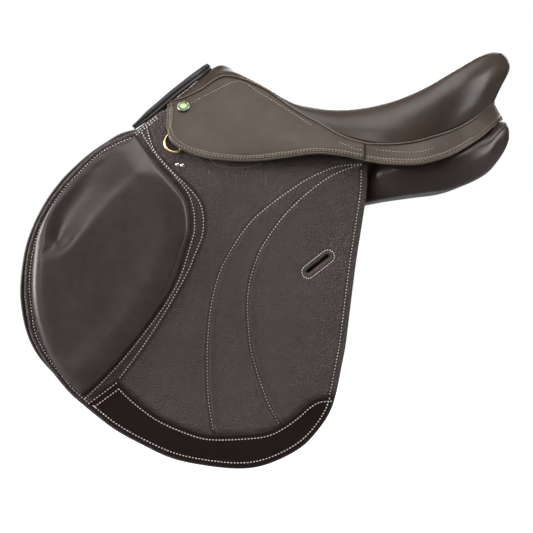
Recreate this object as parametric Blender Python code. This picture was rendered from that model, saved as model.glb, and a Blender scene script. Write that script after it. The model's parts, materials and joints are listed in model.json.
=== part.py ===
"""English jumping saddle, built as its separate pieces.

Blender units are metres, +Z is up, the pommel points to -X and the cantle to +X. The near side is -Y.
The origin lies on the mid-plane at the level where the panels bear on the horse's back. All shape numbers
below are millimetres and are turned into metres when a mesh is made. Paired pieces are modelled once on
the +Y side and mirrored.
"""

import math

import bmesh
import bpy
from mathutils import Matrix, Vector

MM = 0.001
GAP = 0.3
LEFT = "left"
RIGHT = "right"

# Side profile of the flap: its outer face is SIDE_Y from the mid-plane at height SIDE_Z, splays outwards
# below that by SIDE_SPLAY per millimetre, and curls inwards above it.
SIDE_Y = 123.0
SIDE_Z = 4.0
SIDE_SPLAY = 0.137
SIDE_CURL = 0.00222
SIDE_LEVELS = [4, 16, 28, 52, 64, 76, 88, 100, 112]

# Depths of the leather layers, measured inwards along Y from the flap's outer face.
FLAP_THICK = 5.0
STRAP_OUTER = 10.5
STRAP_INNER = 14.5
SWEAT_OUTER = 19.0
SWEAT_INNER = 23.0

# Fold lines that the flap, the girth straps and the skirt lift about.
FLAP_FOLD_Z = 40.0
STRAP_FOLD_Z = 39.5
SKIRT_FOLD_FRONT = Vector((-131, 87, 113.5))
SKIRT_FOLD_REAR = Vector((128, 129, 66))
FOLD_GAP = 0.9

COVER_THICK = 2.0
FOAM_THICK = 10.0
SKIRT_THICK = 3.5

STRAP_WIDTH = 25.0
STRAP_PITCH = 33.0
STRAP_FRONT_X = 7.5
STRAP_TIP_Z = -262.0
STRAP_HOLES = 8
STRAP_HOLE_PITCH = 25.0
STRAP_HOLE_RADIUS = 2.6

GUARD_X = (-10.0, 91.0)
GUARD_Z = (-200.0, -140.0)

SLOT_CENTRE = (68.0, -85.0)
SLOT_LENGTH = 40.0
SLOT_WIDTH = 7.0
SLOT_TILT = math.radians(38)

BAR_Z = 66.0
PIN_X = -8.0
PIN_RADIUS = 1.3

DEE_TOP = (-124.0, 91.0)
DEE_BOTTOM = (-113.5, 66.0)
DEE_WIRE = 1.7
DEE_BOW = 17.0
DEE_STANDOFF = 3.4

HEAD_PLANE = Vector((0.88, 0.0, -0.48))

# Half of the seat surface as rows from front to back. Each row runs from the middle of the seat over the
# highest line and the flank down to the seam that joins the skirt.
SEAT_NET = [
    [(-73.5, 0, 181), (-77.5, 20, 176), (-88.5, 35, 167), (-105, 47, 152.5), (-121, 57, 139.5), (-132, 66, 133)],
    [(-68, 0, 186.5), (-71, 19, 183), (-79, 34, 173.5), (-92, 46, 161), (-104, 56, 149), (-116, 66, 136)],
    [(-58, 0, 188), (-61, 16, 185.5), (-68, 30, 178), (-76, 42, 168.5), (-83, 52, 158), (-90, 60, 149)],
    [(-42, 0, 181.5), (-44, 14, 181), (-47, 26, 179), (-50, 36, 176.5), (-53, 43, 173), (-55, 48, 170)],
    [(-10, 0, 162), (-10, 18, 162), (-10, 32, 161), (-9, 42, 159.5), (-8, 49, 157), (-6, 54, 154)],
    [(36, 0, 130), (36, 26, 132), (36, 48, 134), (38, 62, 131), (40, 71, 127), (41, 77, 122)],
    [(95, 0, 117), (94, 36, 120), (93, 68, 123), (92, 88, 115), (91, 99, 103), (91, 104, 91)],
    [(152, 0, 119), (152, 44, 123), (151, 86, 129), (150, 108, 118), (150, 122, 96), (150, 127, 74)],
    [(205, 0, 131), (203, 48, 137), (200, 92, 146), (200, 116, 128), (199, 126, 100), (199, 129, 78)],
    [(240, 0, 145), (240, 48, 155), (243, 88, 170), (246, 110, 150), (244, 118, 115), (240, 117, 91)],
    [(252, 0, 150), (272, 36, 175), (281, 60, 193), (291, 82, 168), (286, 90, 133), (276, 90, 109)],
    [(258, 0, 153), (288, 22, 186), (303, 33, 201), (319, 44, 180), (312, 52, 148), (298, 54, 125)],
    [(262, 0, 155), (292, 0, 186), (316, 0, 203), (331, 0, 184), (324, 0, 154), (312, 0, 135)],
]
# How far the foam's underside moves outwards (first) and down (second) for each column of the seat net,
# as a share of the foam's thickness.
FOAM_DRIFT = [(0.0, 1.0), (-0.1, 1.0), (0.1, 1.0), (0.7, 0.7), (0.9, 0.1), (0.6, 0.0)]

# Skirt rows from front to back: the seam point, the place of the fold along X and the lower edge.
SKIRT_ROWS = [
    ((-133, 70, 130), -131, (-127, 100.5, 97)),
    ((-122, 67, 134.5), -124, (-120, 111, 83)),
    ((-110, 65.5, 138), -112, (-106, 118, 69)),
    ((-90, 61.5, 148), -92, (-86, 122, 60.5)),
    ((-55, 49.5, 168), -62, (-58, 124.5, 54)),
    ((-6, 55.5, 152.5), -20, (-20, 125, 52)),
    ((36, 77, 122.5), 25, (25, 125.5, 53.5)),
    ((72, 95.5, 101), 65, (65, 128, 58)),
    ((100, 110, 84.5), 100, (100, 130.5, 59)),
    ((128, 123, 74.5), 128, (126, 132.5, 55)),
]

# Rear rim rows from the skirt round to the middle of the cantle: the seam point and the lower edge.
RIM_ROWS = [
    ((129.5, 123.5, 74.3), (131, 133, 53)),
    ((150, 128.5, 72.5), (150, 138, 49)),
    ((175, 131, 73), (172, 146, 46.5)),
    ((199, 131, 76.5), (200, 148.5, 47)),
    ((222, 127, 83), (225, 143, 52.5)),
    ((242, 119.5, 89.5), (246, 133, 60)),
    ((261, 107.5, 98.5), (266, 119, 71)),
    ((278, 92.5, 107.5), (286, 99, 84)),
    ((293, 72, 117), (301, 77, 98)),
    ((304, 45, 126), (314, 48, 113)),
    ((312, 20, 131), (320, 20, 121)),
    ((315, 0, 132.5), (322, 0, 123.5)),
]

# Outlines in X and Z, each closed.
FLAP_OUTLINE = [
    (134, 39.7), (132, 7), (126, -33), (118, -83), (110, -145), (104, -191), (99, -217), (91, -256),
    (83, -279), (70, -299), (50, -321), (24, -337), (-8, -349), (-41, -352), (-87, -347), (-126, -338),
    (-165, -320), (-198, -302), (-225, -282), (-242, -268), (-258, -254), (-276, -233), (-295, -207),
    (-310, -178), (-316, -145), (-319, -112), (-316, -73), (-306, -37), (-290, -5), (-271, 21), (-254, 39.7),
]
FLAP_HEAD_OUTLINE = [
    (-253.5, 40.3), (134, 40.3), (134, 58), (100, 62), (6, 62), (4, 50.5), (-96, 50.5), (-100, 100),
    (-112, 112), (-138, 116), (-148, 115), (-162, 101), (-172, 92), (-184, 88), (-195, 84), (-215, 74),
    (-234, 60), (-246, 48),
]
SWEAT_OUTLINE = [
    (-176, 96), (-196, 90), (-215, 78), (-235, 64), (-255, 46), (-274, 26), (-294, -2), (-311, -36),
    (-321, -69), (-326, -112), (-324, -145), (-316, -178), (-302, -205), (-282, -228), (-262, -247),
    (-235, -264), (-195, -287), (-150, -306), (-100, -319), (-40, -324), (10, -313), (50, -290),
    (72, -262), (84, -225), (92, -170), (100, -100), (112, -40), (122, 0), (128, 40), (128, 60),
    (60, 62), (-60, 64), (-110, 82), (-150, 86),
]
KNEE_PAD_OUTLINE = [
    (-132, 37.5), (-120, 24), (-107, 4), (-101, -17), (-104, -44), (-117, -83), (-136, -129), (-162, -175),
    (-195, -215), (-221, -240), (-240, -258), (-272, -228), (-293, -189), (-307, -145), (-310, -90),
    (-303, -49), (-286, -9), (-262, 20), (-248, 37.5),
]
KNEE_PAD_RINGS = [(1.0, 0.0), (0.95, 6.0), (0.82, 11.0), (0.6, 13.0)]
KNEE_PAD_CENTRE = (-205, -85)
BOOT_GUARD_OUTLINE = [
    (-198, -234), (-172, -257), (-140, -281), (-100, -298), (-61, -305), (-22, -303), (5, -295), (24, -283),
    (44, -269), (64, -259), (89, -257), (81, -279), (68, -299), (49, -319), (23, -335), (-8, -346.5),
    (-41, -349.5), (-87, -344.5), (-125, -335.5), (-164, -318), (-196, -300), (-223, -280), (-238, -267),
]
BAR_LINING_OUTLINE = [(-79, 55), (-70, 47), (-56, 42.4), (-42, 41.2), (-24, 41.8), (-7, 47), (3, 55)]
KNEE_BLOCK_OUTLINE = [
    (-232, -10), (-205, 18), (-170, 20), (-150, 0), (-140, -40), (-150, -90), (-170, -130), (-195, -150),
    (-215, -140), (-232, -100), (-240, -55),
]
KNEE_BLOCK_RINGS = [(1.0, 0.0), (0.93, 7.0), (0.8, 12.5)]
KNEE_BLOCK_CENTRE = (-190, -60)

# Panel sections from front to back: X, the inner upper end, the outer lower end and the thickness.
PANEL_SECTIONS = [
    (-170, (44, 86), (66, 50), 14),
    (-155, (31, 96), (78, -8), 21),
    (-130, (30, 94), (82, -22), 23),
    (-100, (30, 82), (86, -28), 25),
    (-60, (33, 62), (91, -26), 27),
    (-10, (36, 42), (93, -16), 29),
    (50, (37, 32), (95, 0), 31),
    (100, (38, 30), (96, 2), 32),
    (128, (38, 32), (95, 2), 32),
    (150, (38, 35), (101, 5), 35),
    (200, (38, 45), (122, 15), 44),
    (240, (38, 56), (123, 26), 52),
    (275, (36, 71), (112, 43), 54),
    (300, (34, 78), (92, 56), 46),
    (316, (35, 82), (75, 72), 33),
    (325, (40, 84), (62, 79), 15),
]
LINING_ROWS = [
    (-140, 112), (-100, 99), (-60, 81), (-10, 64), (50, 52), (100, 50), (150, 55), (200, 68), (240, 84),
    (275, 100), (303, 107),
]
LINING_HALF_WIDTH = 28.0

TREE_HEAD_PATH = [(-132, 65, 72), (-118, 56, 107), (-98, 36, 135), (-82, 0, 151)]
PLATE_PATH = [(-126.5, 61, 88), (-118, 56, 107), (-98, 36, 135), (-82, 0, 151)]
RAIL_PATH = [
    (-84, 53, 131), (-20, 56, 112), (40, 60, 94), (95, 66, 84), (150, 78, 84), (205, 88, 92), (236, 86, 102),
]
CANTLE_PATH = [(247, 84, 110), (268, 66, 126), (286, 36, 138), (294, 0, 143)]
SEAT_WEB_PATH = [
    (-62, 138), (-10, 114), (36, 98), (95, 91), (152, 92), (205, 106), (250, 124), (281, 140),
]
FRONT_WEB_PATH = [
    (0, 122), (45, 122), (68, 120.5), (79, 108), (86, 92), (90, 76), (96, 62), (104, 48),
]
REAR_WEB_PATH = [
    (0, 101.5), (45, 103), (68, 105.8), (80, 100), (87, 87), (90, 75), (96, 62), (104, 48),
]
FACING_PATH = [
    (-77, 0, 183), (-79, 14, 181.5), (-84, 25, 177), (-93, 37, 169.5), (-107, 48, 157.7), (-125, 58.5, 142.6),
    (-142, 67, 128.3), (-160, 77.5, 113), (-176, 86, 99.5),
]
FACING_RADIUS = 3.5
STIRRUP_BAR_PATH = [
    (-22, 68, 114), (-66, 68, 114), (-82, 72, 111), (-88, 84, 98), (-86, 95, 83), (-78, 103.5, 69),
    (-68, 103.5, 66), (-18, 103.5, 66), (-14, 102, 66), (-3, 102, 66),
]
STIRRUP_BAR_HALF_DEPTH = [2.5, 2.5, 2.5, 2.5, 2.5, 2.5, 2.5, 2.5, 1.0, 1.0]

LEATHER = ("saddle_leather", (0.075, 0.055, 0.048), 0.5, 0.0)
SMOOTH_LEATHER = ("smooth_leather", (0.09, 0.07, 0.06), 0.38, 0.0)
GUARD_LEATHER = ("guard_leather", (0.03, 0.018, 0.015), 0.55, 0.0)
LINING_LEATHER = ("lining_leather", (0.065, 0.045, 0.038), 0.55, 0.0)
FOAM = ("foam", (0.55, 0.5, 0.36), 0.9, 0.0)
WEBBING = ("webbing", (0.5, 0.46, 0.38), 0.85, 0.0)
BEECH = ("tree_wood", (0.45, 0.29, 0.15), 0.6, 0.0)
STEEL = ("steel", (0.45, 0.45, 0.46), 0.35, 1.0)
CHROME = ("chrome", (0.8, 0.8, 0.8), 0.12, 1.0)
BRASS = ("brass", (0.72, 0.52, 0.2), 0.22, 1.0)
ENAMEL = ("enamel", (0.35, 0.5, 0.22), 0.2, 0.0)


def side_y(z):
    """Distance of the flap's outer face from the mid-plane at height z."""
    rise = z - SIDE_Z
    curl = SIDE_CURL * rise * rise if rise > 0 else 0.0
    return SIDE_Y - SIDE_SPLAY * rise - curl


def finish_material(spec):
    """The Principled material of a spec, made on first use."""
    name, colour, roughness, metallic = spec
    material = bpy.data.materials.get(name)
    if material is None:
        material = bpy.data.materials.new(name)
        material.use_nodes = True
        shader = material.node_tree.nodes["Principled BSDF"]
        shader.inputs["Base Color"].default_value = (*colour, 1.0)
        shader.inputs["Roughness"].default_value = roughness
        shader.inputs["Metallic"].default_value = metallic
        material.diffuse_color = (*colour, 1.0)
    return material


def place(name, bm, spec, pivot=(0, 0, 0)):
    """Turn a mesh in millimetres into an object whose origin is at the pivot."""
    bmesh.ops.remove_doubles(bm, verts=bm.verts, dist=0.02)
    bmesh.ops.dissolve_degenerate(bm, edges=bm.edges, dist=0.01)
    bmesh.ops.recalc_face_normals(bm, faces=bm.faces)
    origin = Vector(pivot)
    bm.transform(Matrix.Scale(MM, 4) @ Matrix.Translation(-origin))
    mesh = bpy.data.meshes.new(name)
    bm.to_mesh(mesh)
    bm.free()
    mesh.materials.append(finish_material(spec))
    obj = bpy.data.objects.new(name, mesh)
    obj.location = origin * MM
    bpy.context.scene.collection.objects.link(obj)
    return obj


def place_pair(name, bm, spec, pivot=(0, 0, 0)):
    """Place a +Y piece as NAME_right and its mirror image as NAME_left."""
    mirrored = bm.copy()
    mirrored.transform(Matrix.Diagonal((1, -1, 1, 1)))
    x, y, z = pivot
    right = place(f"{name}_{RIGHT}", bm, spec, pivot)
    left = place(f"{name}_{LEFT}", mirrored, spec, (x, -y, z))
    return left, right


def cutter(name, bm):
    """A boolean cutter, hidden from the render and drawn as wire."""
    obj = place(name, bm, STEEL)
    obj.hide_render = True
    obj.display_type = "WIRE"
    return obj


def cut(target, tool):
    """Subtract the tool from the target."""
    modifier = target.modifiers.new("cut", "BOOLEAN")
    modifier.operation = "DIFFERENCE"
    modifier.solver = "EXACT"
    modifier.object = tool


def spline(points, steps):
    """Points of a smooth curve through the given points, with a number of steps to each span."""
    known = [Vector(p) for p in points]
    known = [2 * known[0] - known[1], *known, 2 * known[-1] - known[-2]]
    curve = []
    for a, b, c, d in zip(known, known[1:], known[2:], known[3:]):
        for k in range(steps):
            t = k / steps
            straight = 2 * b + (c - a) * t
            bend = (2 * a - 5 * b + 4 * c - d) * t * t + (3 * b - a - 3 * c + d) * t**3
            curve.append((straight + bend) / 2)
    curve.append(known[-2])
    return curve


def smooth_net(net, row_steps, column_steps):
    """Refine a net of points along its columns and then along its rows."""
    columns = [spline(column, row_steps) for column in zip(*net)]
    return [spline(row, column_steps) for row in zip(*columns)]


def net_normals(grid):
    """Unit normals at the points of a grid, pointing to the side of rows crossed with columns."""
    last_row = len(grid) - 1
    last_column = len(grid[0]) - 1
    normals = []
    for i in range(last_row + 1):
        line = []
        for j in range(last_column + 1):
            along = grid[min(i + 1, last_row)][j] - grid[max(i - 1, 0)][j]
            across = grid[i][min(j + 1, last_column)] - grid[i][max(j - 1, 0)]
            line.append(along.cross(across).normalized())
        normals.append(line)
    return normals


def shell(outer, inner, mirror=False):
    """A closed body between two grids, mirrored over Y=0 where its first column and last row lie there."""
    bm = bmesh.new()
    rows = len(outer)
    columns = len(outer[0])
    upper = [[bm.verts.new(p) for p in line] for line in outer]
    lower = [[bm.verts.new(p) for p in line] for line in inner]
    for i in range(rows - 1):
        for j in range(columns - 1):
            for skin, turn in ((upper, 1), (lower, -1)):
                corners = [skin[i][j], skin[i + 1][j], skin[i + 1][j + 1], skin[i][j + 1]]
                bm.faces.new([corners[k] for k in (0, 1, 3)][::turn])
                bm.faces.new([corners[k] for k in (1, 2, 3)][::turn])
    for i in range(rows - 1):
        sides = [columns - 1] if mirror else [0, columns - 1]
        for j in sides:
            bm.faces.new((upper[i][j], upper[i + 1][j], lower[i + 1][j], lower[i][j]))
    for j in range(columns - 1):
        ends = [0] if mirror else [0, rows - 1]
        for i in ends:
            bm.faces.new((upper[i][j], upper[i][j + 1], lower[i][j + 1], lower[i][j]))
    if mirror:
        twin = bmesh.ops.duplicate(bm, geom=bm.verts[:] + bm.edges[:] + bm.faces[:])["geom"]
        for item in twin:
            if isinstance(item, bmesh.types.BMVert):
                item.co.y = -item.co.y
    return bm


def on_mid_plane(points):
    """The same points moved onto Y=0."""
    return [Vector((p.x, 0, p.z)) for p in points]


def seat_layer(depth, drift_thick, row_steps, column_steps):
    """The seat surface pushed in by a depth along its normals and by a share of the foam's thickness."""
    grid = smooth_net(SEAT_NET, row_steps, column_steps)
    normals = net_normals(grid)
    drift = [Vector((a, b, 0)) for a, b in FOAM_DRIFT]
    drift = spline(drift, column_steps)
    middle = Vector((258, 0, 0))
    layer = []
    for line, line_normals in zip(grid, normals):
        pushed = []
        for point, normal, (out, down, _) in zip(line, line_normals, drift):
            ahead = point.x < middle.x
            spoke = Vector((0 if ahead else point.x - middle.x, point.y, 0))
            spoke = spoke.normalized() if spoke.length > 1 else Vector((0, 0, 0))
            inward = spoke * -out + Vector((0, 0, -down))
            pushed.append(point - normal * depth + inward * drift_thick)
        pushed[0] = Vector((pushed[0].x, 0, pushed[0].z))
        layer.append(pushed)
    layer[-1] = on_mid_plane(layer[-1])
    return layer


def sheet(outline, outer, inner, rings=((1.0, 0.0),), centre=(0, 0)):
    """A side sheet between two depths below the flap's face, swelling outwards over the given rings."""
    bm = bmesh.new()
    hub = Vector((centre[0], 0, centre[1]))
    loops = []
    for share, height in rings:
        points = [hub.lerp(Vector((x, 0, z)), share) + Vector((0, height, 0)) for x, z in outline]
        loops.append([bm.verts.new(p) for p in points])
    count = len(outline)
    for ring, following in zip(loops, loops[1:]):
        for k in range(count):
            m = (k + 1) % count
            bm.faces.new((ring[k], ring[m], following[m], following[k]))
    bm.faces.new(loops[-1])
    for level in SIDE_LEVELS:
        parts = bm.verts[:] + bm.edges[:] + bm.faces[:]
        bmesh.ops.bisect_plane(bm, geom=parts, dist=0.001, plane_co=(0, 0, level), plane_no=(0, 0, 1))
    bmesh.ops.triangulate(bm, faces=bm.faces)
    faces = bm.faces[:]
    rim = [edge for edge in bm.edges if edge.is_boundary]
    back = {v: bm.verts.new((v.co.x, side_y(v.co.z) - inner, v.co.z)) for v in bm.verts[:]}
    for face in faces:
        bm.faces.new([back[v] for v in reversed(face.verts)])
    for edge in rim:
        a, b = edge.verts
        bm.faces.new((a, b, back[b], back[a]))
    for v in back:
        v.co.y += side_y(v.co.z) - outer
    return bm


def sweep(path, half_across, half_along, reference):
    """A bar of rectangular section along a path. The half sizes are lists or single numbers."""
    count = len(path)
    across_sizes = half_across if isinstance(half_across, list) else [half_across] * count
    along_sizes = half_along if isinstance(half_along, list) else [half_along] * count
    path = [Vector(p) for p in path]
    bm = bmesh.new()
    loops = []
    for k, point in enumerate(path):
        tangent = (path[min(k + 1, count - 1)] - path[max(k - 1, 0)]).normalized()
        along = (reference - tangent * reference.dot(tangent)).normalized()
        across = along.cross(tangent)
        corners = [(1, 1), (-1, 1), (-1, -1), (1, -1)]
        places = [point + across * a * across_sizes[k] + along * b * along_sizes[k] for a, b in corners]
        loops.append([bm.verts.new(p) for p in places])
    for ring, following in zip(loops, loops[1:]):
        for k in range(4):
            m = (k + 1) % 4
            bm.faces.new((ring[k], ring[m], following[m], following[k]))
    bm.faces.new(loops[0])
    bm.faces.new(loops[-1])
    return bm


def tube(path, radius, sides, closed=False):
    """A round bar along a path, closed into a ring or with flat ends."""
    path = [Vector(p) for p in path]
    count = len(path)
    bm = bmesh.new()
    loops = []
    reference = Vector((0.3, 0.9, 0.2))
    for k, point in enumerate(path):
        after = path[(k + 1) % count] if closed else path[min(k + 1, count - 1)]
        before = path[k - 1] if closed else path[max(k - 1, 0)]
        tangent = (after - before).normalized()
        first = (reference - tangent * reference.dot(tangent)).normalized()
        second = tangent.cross(first)
        turns = [2 * math.pi * s / sides for s in range(sides)]
        ring = [point + (first * math.cos(a) + second * math.sin(a)) * radius for a in turns]
        loops.append([bm.verts.new(p) for p in ring])
    pairs = list(zip(loops, loops[1:]))
    if closed:
        pairs.append((loops[-1], loops[0]))
    else:
        bm.faces.new(loops[0])
        bm.faces.new(loops[-1])
    for ring, following in pairs:
        for k in range(sides):
            m = (k + 1) % sides
            bm.faces.new((ring[k], ring[m], following[m], following[k]))
    return bm


def loft(sections):
    """A closed body through loops of equal length, with its two ends capped."""
    bm = bmesh.new()
    loops = [[bm.verts.new(p) for p in loop] for loop in sections]
    count = len(loops[0])
    for ring, following in zip(loops, loops[1:]):
        for k in range(count):
            m = (k + 1) % count
            bm.faces.new((ring[k], ring[m], following[m], following[k]))
    bm.faces.new(loops[0])
    bm.faces.new(loops[-1])
    return bm


def prism(loop, depth):
    """A flat loop of points pushed along a depth vector."""
    return loft([loop, [p + depth for p in loop]])


def turned(profile, centre, axis, sides):
    """A turned piece: rings of (distance along the axis, radius) around an axis through the centre."""
    axis = Vector(axis).normalized()
    first = axis.orthogonal().normalized()
    second = axis.cross(first)
    turns = [2 * math.pi * s / sides for s in range(sides)]
    rings = []
    for along, radius in profile:
        hub = Vector(centre) + axis * along
        rings.append([hub + (first * math.cos(a) + second * math.sin(a)) * radius for a in turns])
    return loft(rings)


def both_sides(path):
    """A half path that ends on the mid-plane, continued to the other side."""
    return list(path) + [(x, -y, z) for x, y, z in reversed(path[:-1])]


def inset_arch(path, distance):
    """An arch path moved inwards within the plane of the tree's head."""
    full = [Vector(p) for p in both_sides(path)]
    count = len(full)
    moved = []
    for k, point in enumerate(full):
        tangent = (full[min(k + 1, count - 1)] - full[max(k - 1, 0)]).normalized()
        moved.append(point - tangent.cross(HEAD_PLANE).normalized() * distance)
    return moved


def build_tree():
    """The tree: wooden head, rails and cantle, with the steel gullet plate and springs."""
    head = spline(both_sides(TREE_HEAD_PATH), 2)
    place("tree_head", sweep(head, 8, 6, HEAD_PLANE), BEECH)
    arch = inset_arch(spline(PLATE_PATH, 2), 10.6)
    place("gullet_plate", sweep(arch, 1.5, 5, HEAD_PLANE), STEEL)
    rail = spline(RAIL_PATH, 2)
    place_pair("tree_rail", sweep(rail, 8, 8, Vector((0, 0, 1))), BEECH)
    drop = Vector((0, 0, -11))
    spring_path = [p + drop for p in rail[1:-1]]
    place_pair("spring", sweep(spring_path, 6, 1.5, Vector((0, 0, 1))), STEEL)
    cantle = spline(both_sides(CANTLE_PATH), 2)
    place("tree_cantle", sweep(cantle, 6.5, 14, Vector((0, 0, 1))), BEECH)


def build_webs():
    """Webbing: the strainer along the tree and the two girth webs over it."""
    strainer = [(x, 0, z) for x, z in SEAT_WEB_PATH]
    place("seat_web", sweep(strainer, 18, 1, Vector((0, 0, 1))), WEBBING)
    girth_webs = [
        ("girth_web_front", FRONT_WEB_PATH, -8, 22),
        ("girth_web_rear", REAR_WEB_PATH, 40, 88),
    ]
    for name, path, front, rear in girth_webs:
        middle = (front + rear) / 2
        half = [(middle, y, z) for y, z in reversed(path)]
        band = sweep(both_sides(half), 0.8, (rear - front) / 2, Vector((1, 0, 0)))
        place(name, band, WEBBING)


def build_seat():
    """The seat's foam and the leather cover over it."""
    cover_outer = seat_layer(0, 0, 2, 1)
    cover_inner = seat_layer(COVER_THICK, 0, 2, 1)
    place("seat_cover", shell(cover_outer, cover_inner, mirror=True), SMOOTH_LEATHER)
    foam_outer = seat_layer(COVER_THICK + 2 * GAP, 0, 2, 1)
    foam_inner = seat_layer(COVER_THICK + 2 * GAP, FOAM_THICK, 2, 1)
    place("seat_foam", shell(foam_outer, foam_inner, mirror=True), FOAM)


def skirt_fold(x):
    """The point of the skirt's fold line at x."""
    span = SKIRT_FOLD_REAR.x - SKIRT_FOLD_FRONT.x
    return SKIRT_FOLD_FRONT.lerp(SKIRT_FOLD_REAR, (x - SKIRT_FOLD_FRONT.x) / span)


def layer_pair(net, row_steps, column_steps, thick):
    """The grid of a net and the same grid moved inwards by the thickness."""
    grid = smooth_net(net, row_steps, column_steps)
    normals = net_normals(grid)
    inner = [[p - n * thick for p, n in zip(a, b)] for a, b in zip(grid, normals)]
    return grid, inner


def bulged(a, b, outwards):
    """A point half way between two others, moved outwards along Y."""
    return a.lerp(b, 0.5) + Vector((0, outwards, 0))


def build_skirts():
    """Skirts: the head sewn to the seat, the lifting part, the badge, and the rim round the cantle."""
    head_net = []
    skirt_net = []
    for seam, fold_x, edge in SKIRT_ROWS:
        fold = skirt_fold(fold_x)
        seam = Vector(seam)
        edge = Vector(edge)
        above = fold + (seam - fold).normalized() * FOLD_GAP
        below = fold + (edge - fold).normalized() * FOLD_GAP
        head_net.append([seam, bulged(seam, above, 1.5), above])
        skirt_net.append([below, bulged(below, edge, 1.0), edge])
    head_grid, head_inner = layer_pair(head_net, 2, 1, SKIRT_THICK)
    place_pair("skirt_head", shell(head_grid, head_inner), SMOOTH_LEATHER)
    grid, inner = layer_pair(skirt_net, 2, 1, SKIRT_THICK)
    pivot = skirt_fold(0)
    place_pair("skirt", shell(grid, inner), SMOOTH_LEATHER, pivot)

    badge_row = head_grid[4]
    normal = net_normals(head_grid)[4][1]
    profile = [(0, 8.5), (1.4, 8.5), (2.4, 6.6), (2.9, 3.0)]
    badge = turned(profile, (0, 0, 0), (0, 0, 1), 16)
    badge.transform(Matrix.Diagonal((1, 0.85, 1, 1)))
    facing = Vector((0, 0, 1)).rotation_difference(normal).to_matrix().to_4x4()
    centre = badge_row[1] + normal * 1.2
    badge.transform(Matrix.Translation(centre) @ facing)
    place_pair("badge", badge, ENAMEL)

    half_net = []
    for seam, low in RIM_ROWS:
        seam = Vector(seam)
        low = Vector(low)
        half_net.append([seam, seam.lerp(low, 0.5), low])
    half_net += [[Vector((p.x, -p.y, p.z)) for p in row] for row in reversed(half_net[:-1])]
    rim, rim_inner = layer_pair(half_net, 1, 1, SKIRT_THICK)
    place("rear_rim", shell(rim, rim_inner), SMOOTH_LEATHER)


def build_flaps():
    """Flaps with their slot, pads and guards, the fixed flap heads and the sweat flaps."""
    pivot = (0, side_y(FLAP_FOLD_Z) + 0.15, FLAP_FOLD_Z)
    flaps = place_pair("flap", sheet(FLAP_OUTLINE, 0, FLAP_THICK), LEATHER, pivot)
    centre_x, centre_z = SLOT_CENTRE
    half = (SLOT_LENGTH - SLOT_WIDTH) / 2
    loop = []
    for end, first in ((1, -90), (-1, 90)):
        for k in range(5):
            angle = math.radians(first + 45 * k)
            x = end * half + math.cos(angle) * SLOT_WIDTH / 2
            z = math.sin(angle) * SLOT_WIDTH / 2
            turned_x = x * math.cos(SLOT_TILT) - z * math.sin(SLOT_TILT)
            turned_z = x * math.sin(SLOT_TILT) + z * math.cos(SLOT_TILT)
            loop.append((centre_x + turned_x, centre_z + turned_z))
    for flap, side in zip(flaps, (-1, 1)):
        near = [Vector((x, side * 124, z)) for x, z in loop]
        tool = cutter(f"slot_cutter_{flap.name}", prism(near, Vector((0, side * 20, 0))))
        cut(flap, tool)

    pad = sheet(KNEE_PAD_OUTLINE, -GAP - 0.5, -GAP, KNEE_PAD_RINGS, KNEE_PAD_CENTRE)
    place_pair("knee_pad", pad, SMOOTH_LEATHER, pivot)
    guard = sheet(BOOT_GUARD_OUTLINE, -GAP - 1.6, -GAP)
    place_pair("boot_guard", guard, GUARD_LEATHER, pivot)
    place_pair("flap_head", sheet(FLAP_HEAD_OUTLINE, 0, FLAP_THICK), LEATHER)
    place_pair("bar_lining", sheet(BAR_LINING_OUTLINE, -GAP - 1.5, -GAP), LINING_LEATHER)
    place_pair("sweat_flap", sheet(SWEAT_OUTLINE, SWEAT_OUTER, SWEAT_INNER), LINING_LEATHER)
    block = sheet(
        KNEE_BLOCK_OUTLINE, SWEAT_OUTER - GAP - 0.5, SWEAT_OUTER - GAP, KNEE_BLOCK_RINGS, KNEE_BLOCK_CENTRE
    )
    place_pair("knee_block", block, LINING_LEATHER)

    screws = [("flap_screw_front", -119.5, 47), ("flap_screw_rear", -111, 46)]
    for name, x, z in screws:
        lean = Vector((0, 1, SIDE_SPLAY + 2 * SIDE_CURL * (z - SIDE_Z))).normalized()
        seat = Vector((x, side_y(z), z)) + lean * GAP
        dome = turned([(0, 3.2), (0.8, 3.2), (2.0, 2.2), (2.5, 0.9)], seat, lean, 12)
        place_pair(name, dome, CHROME)


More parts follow.
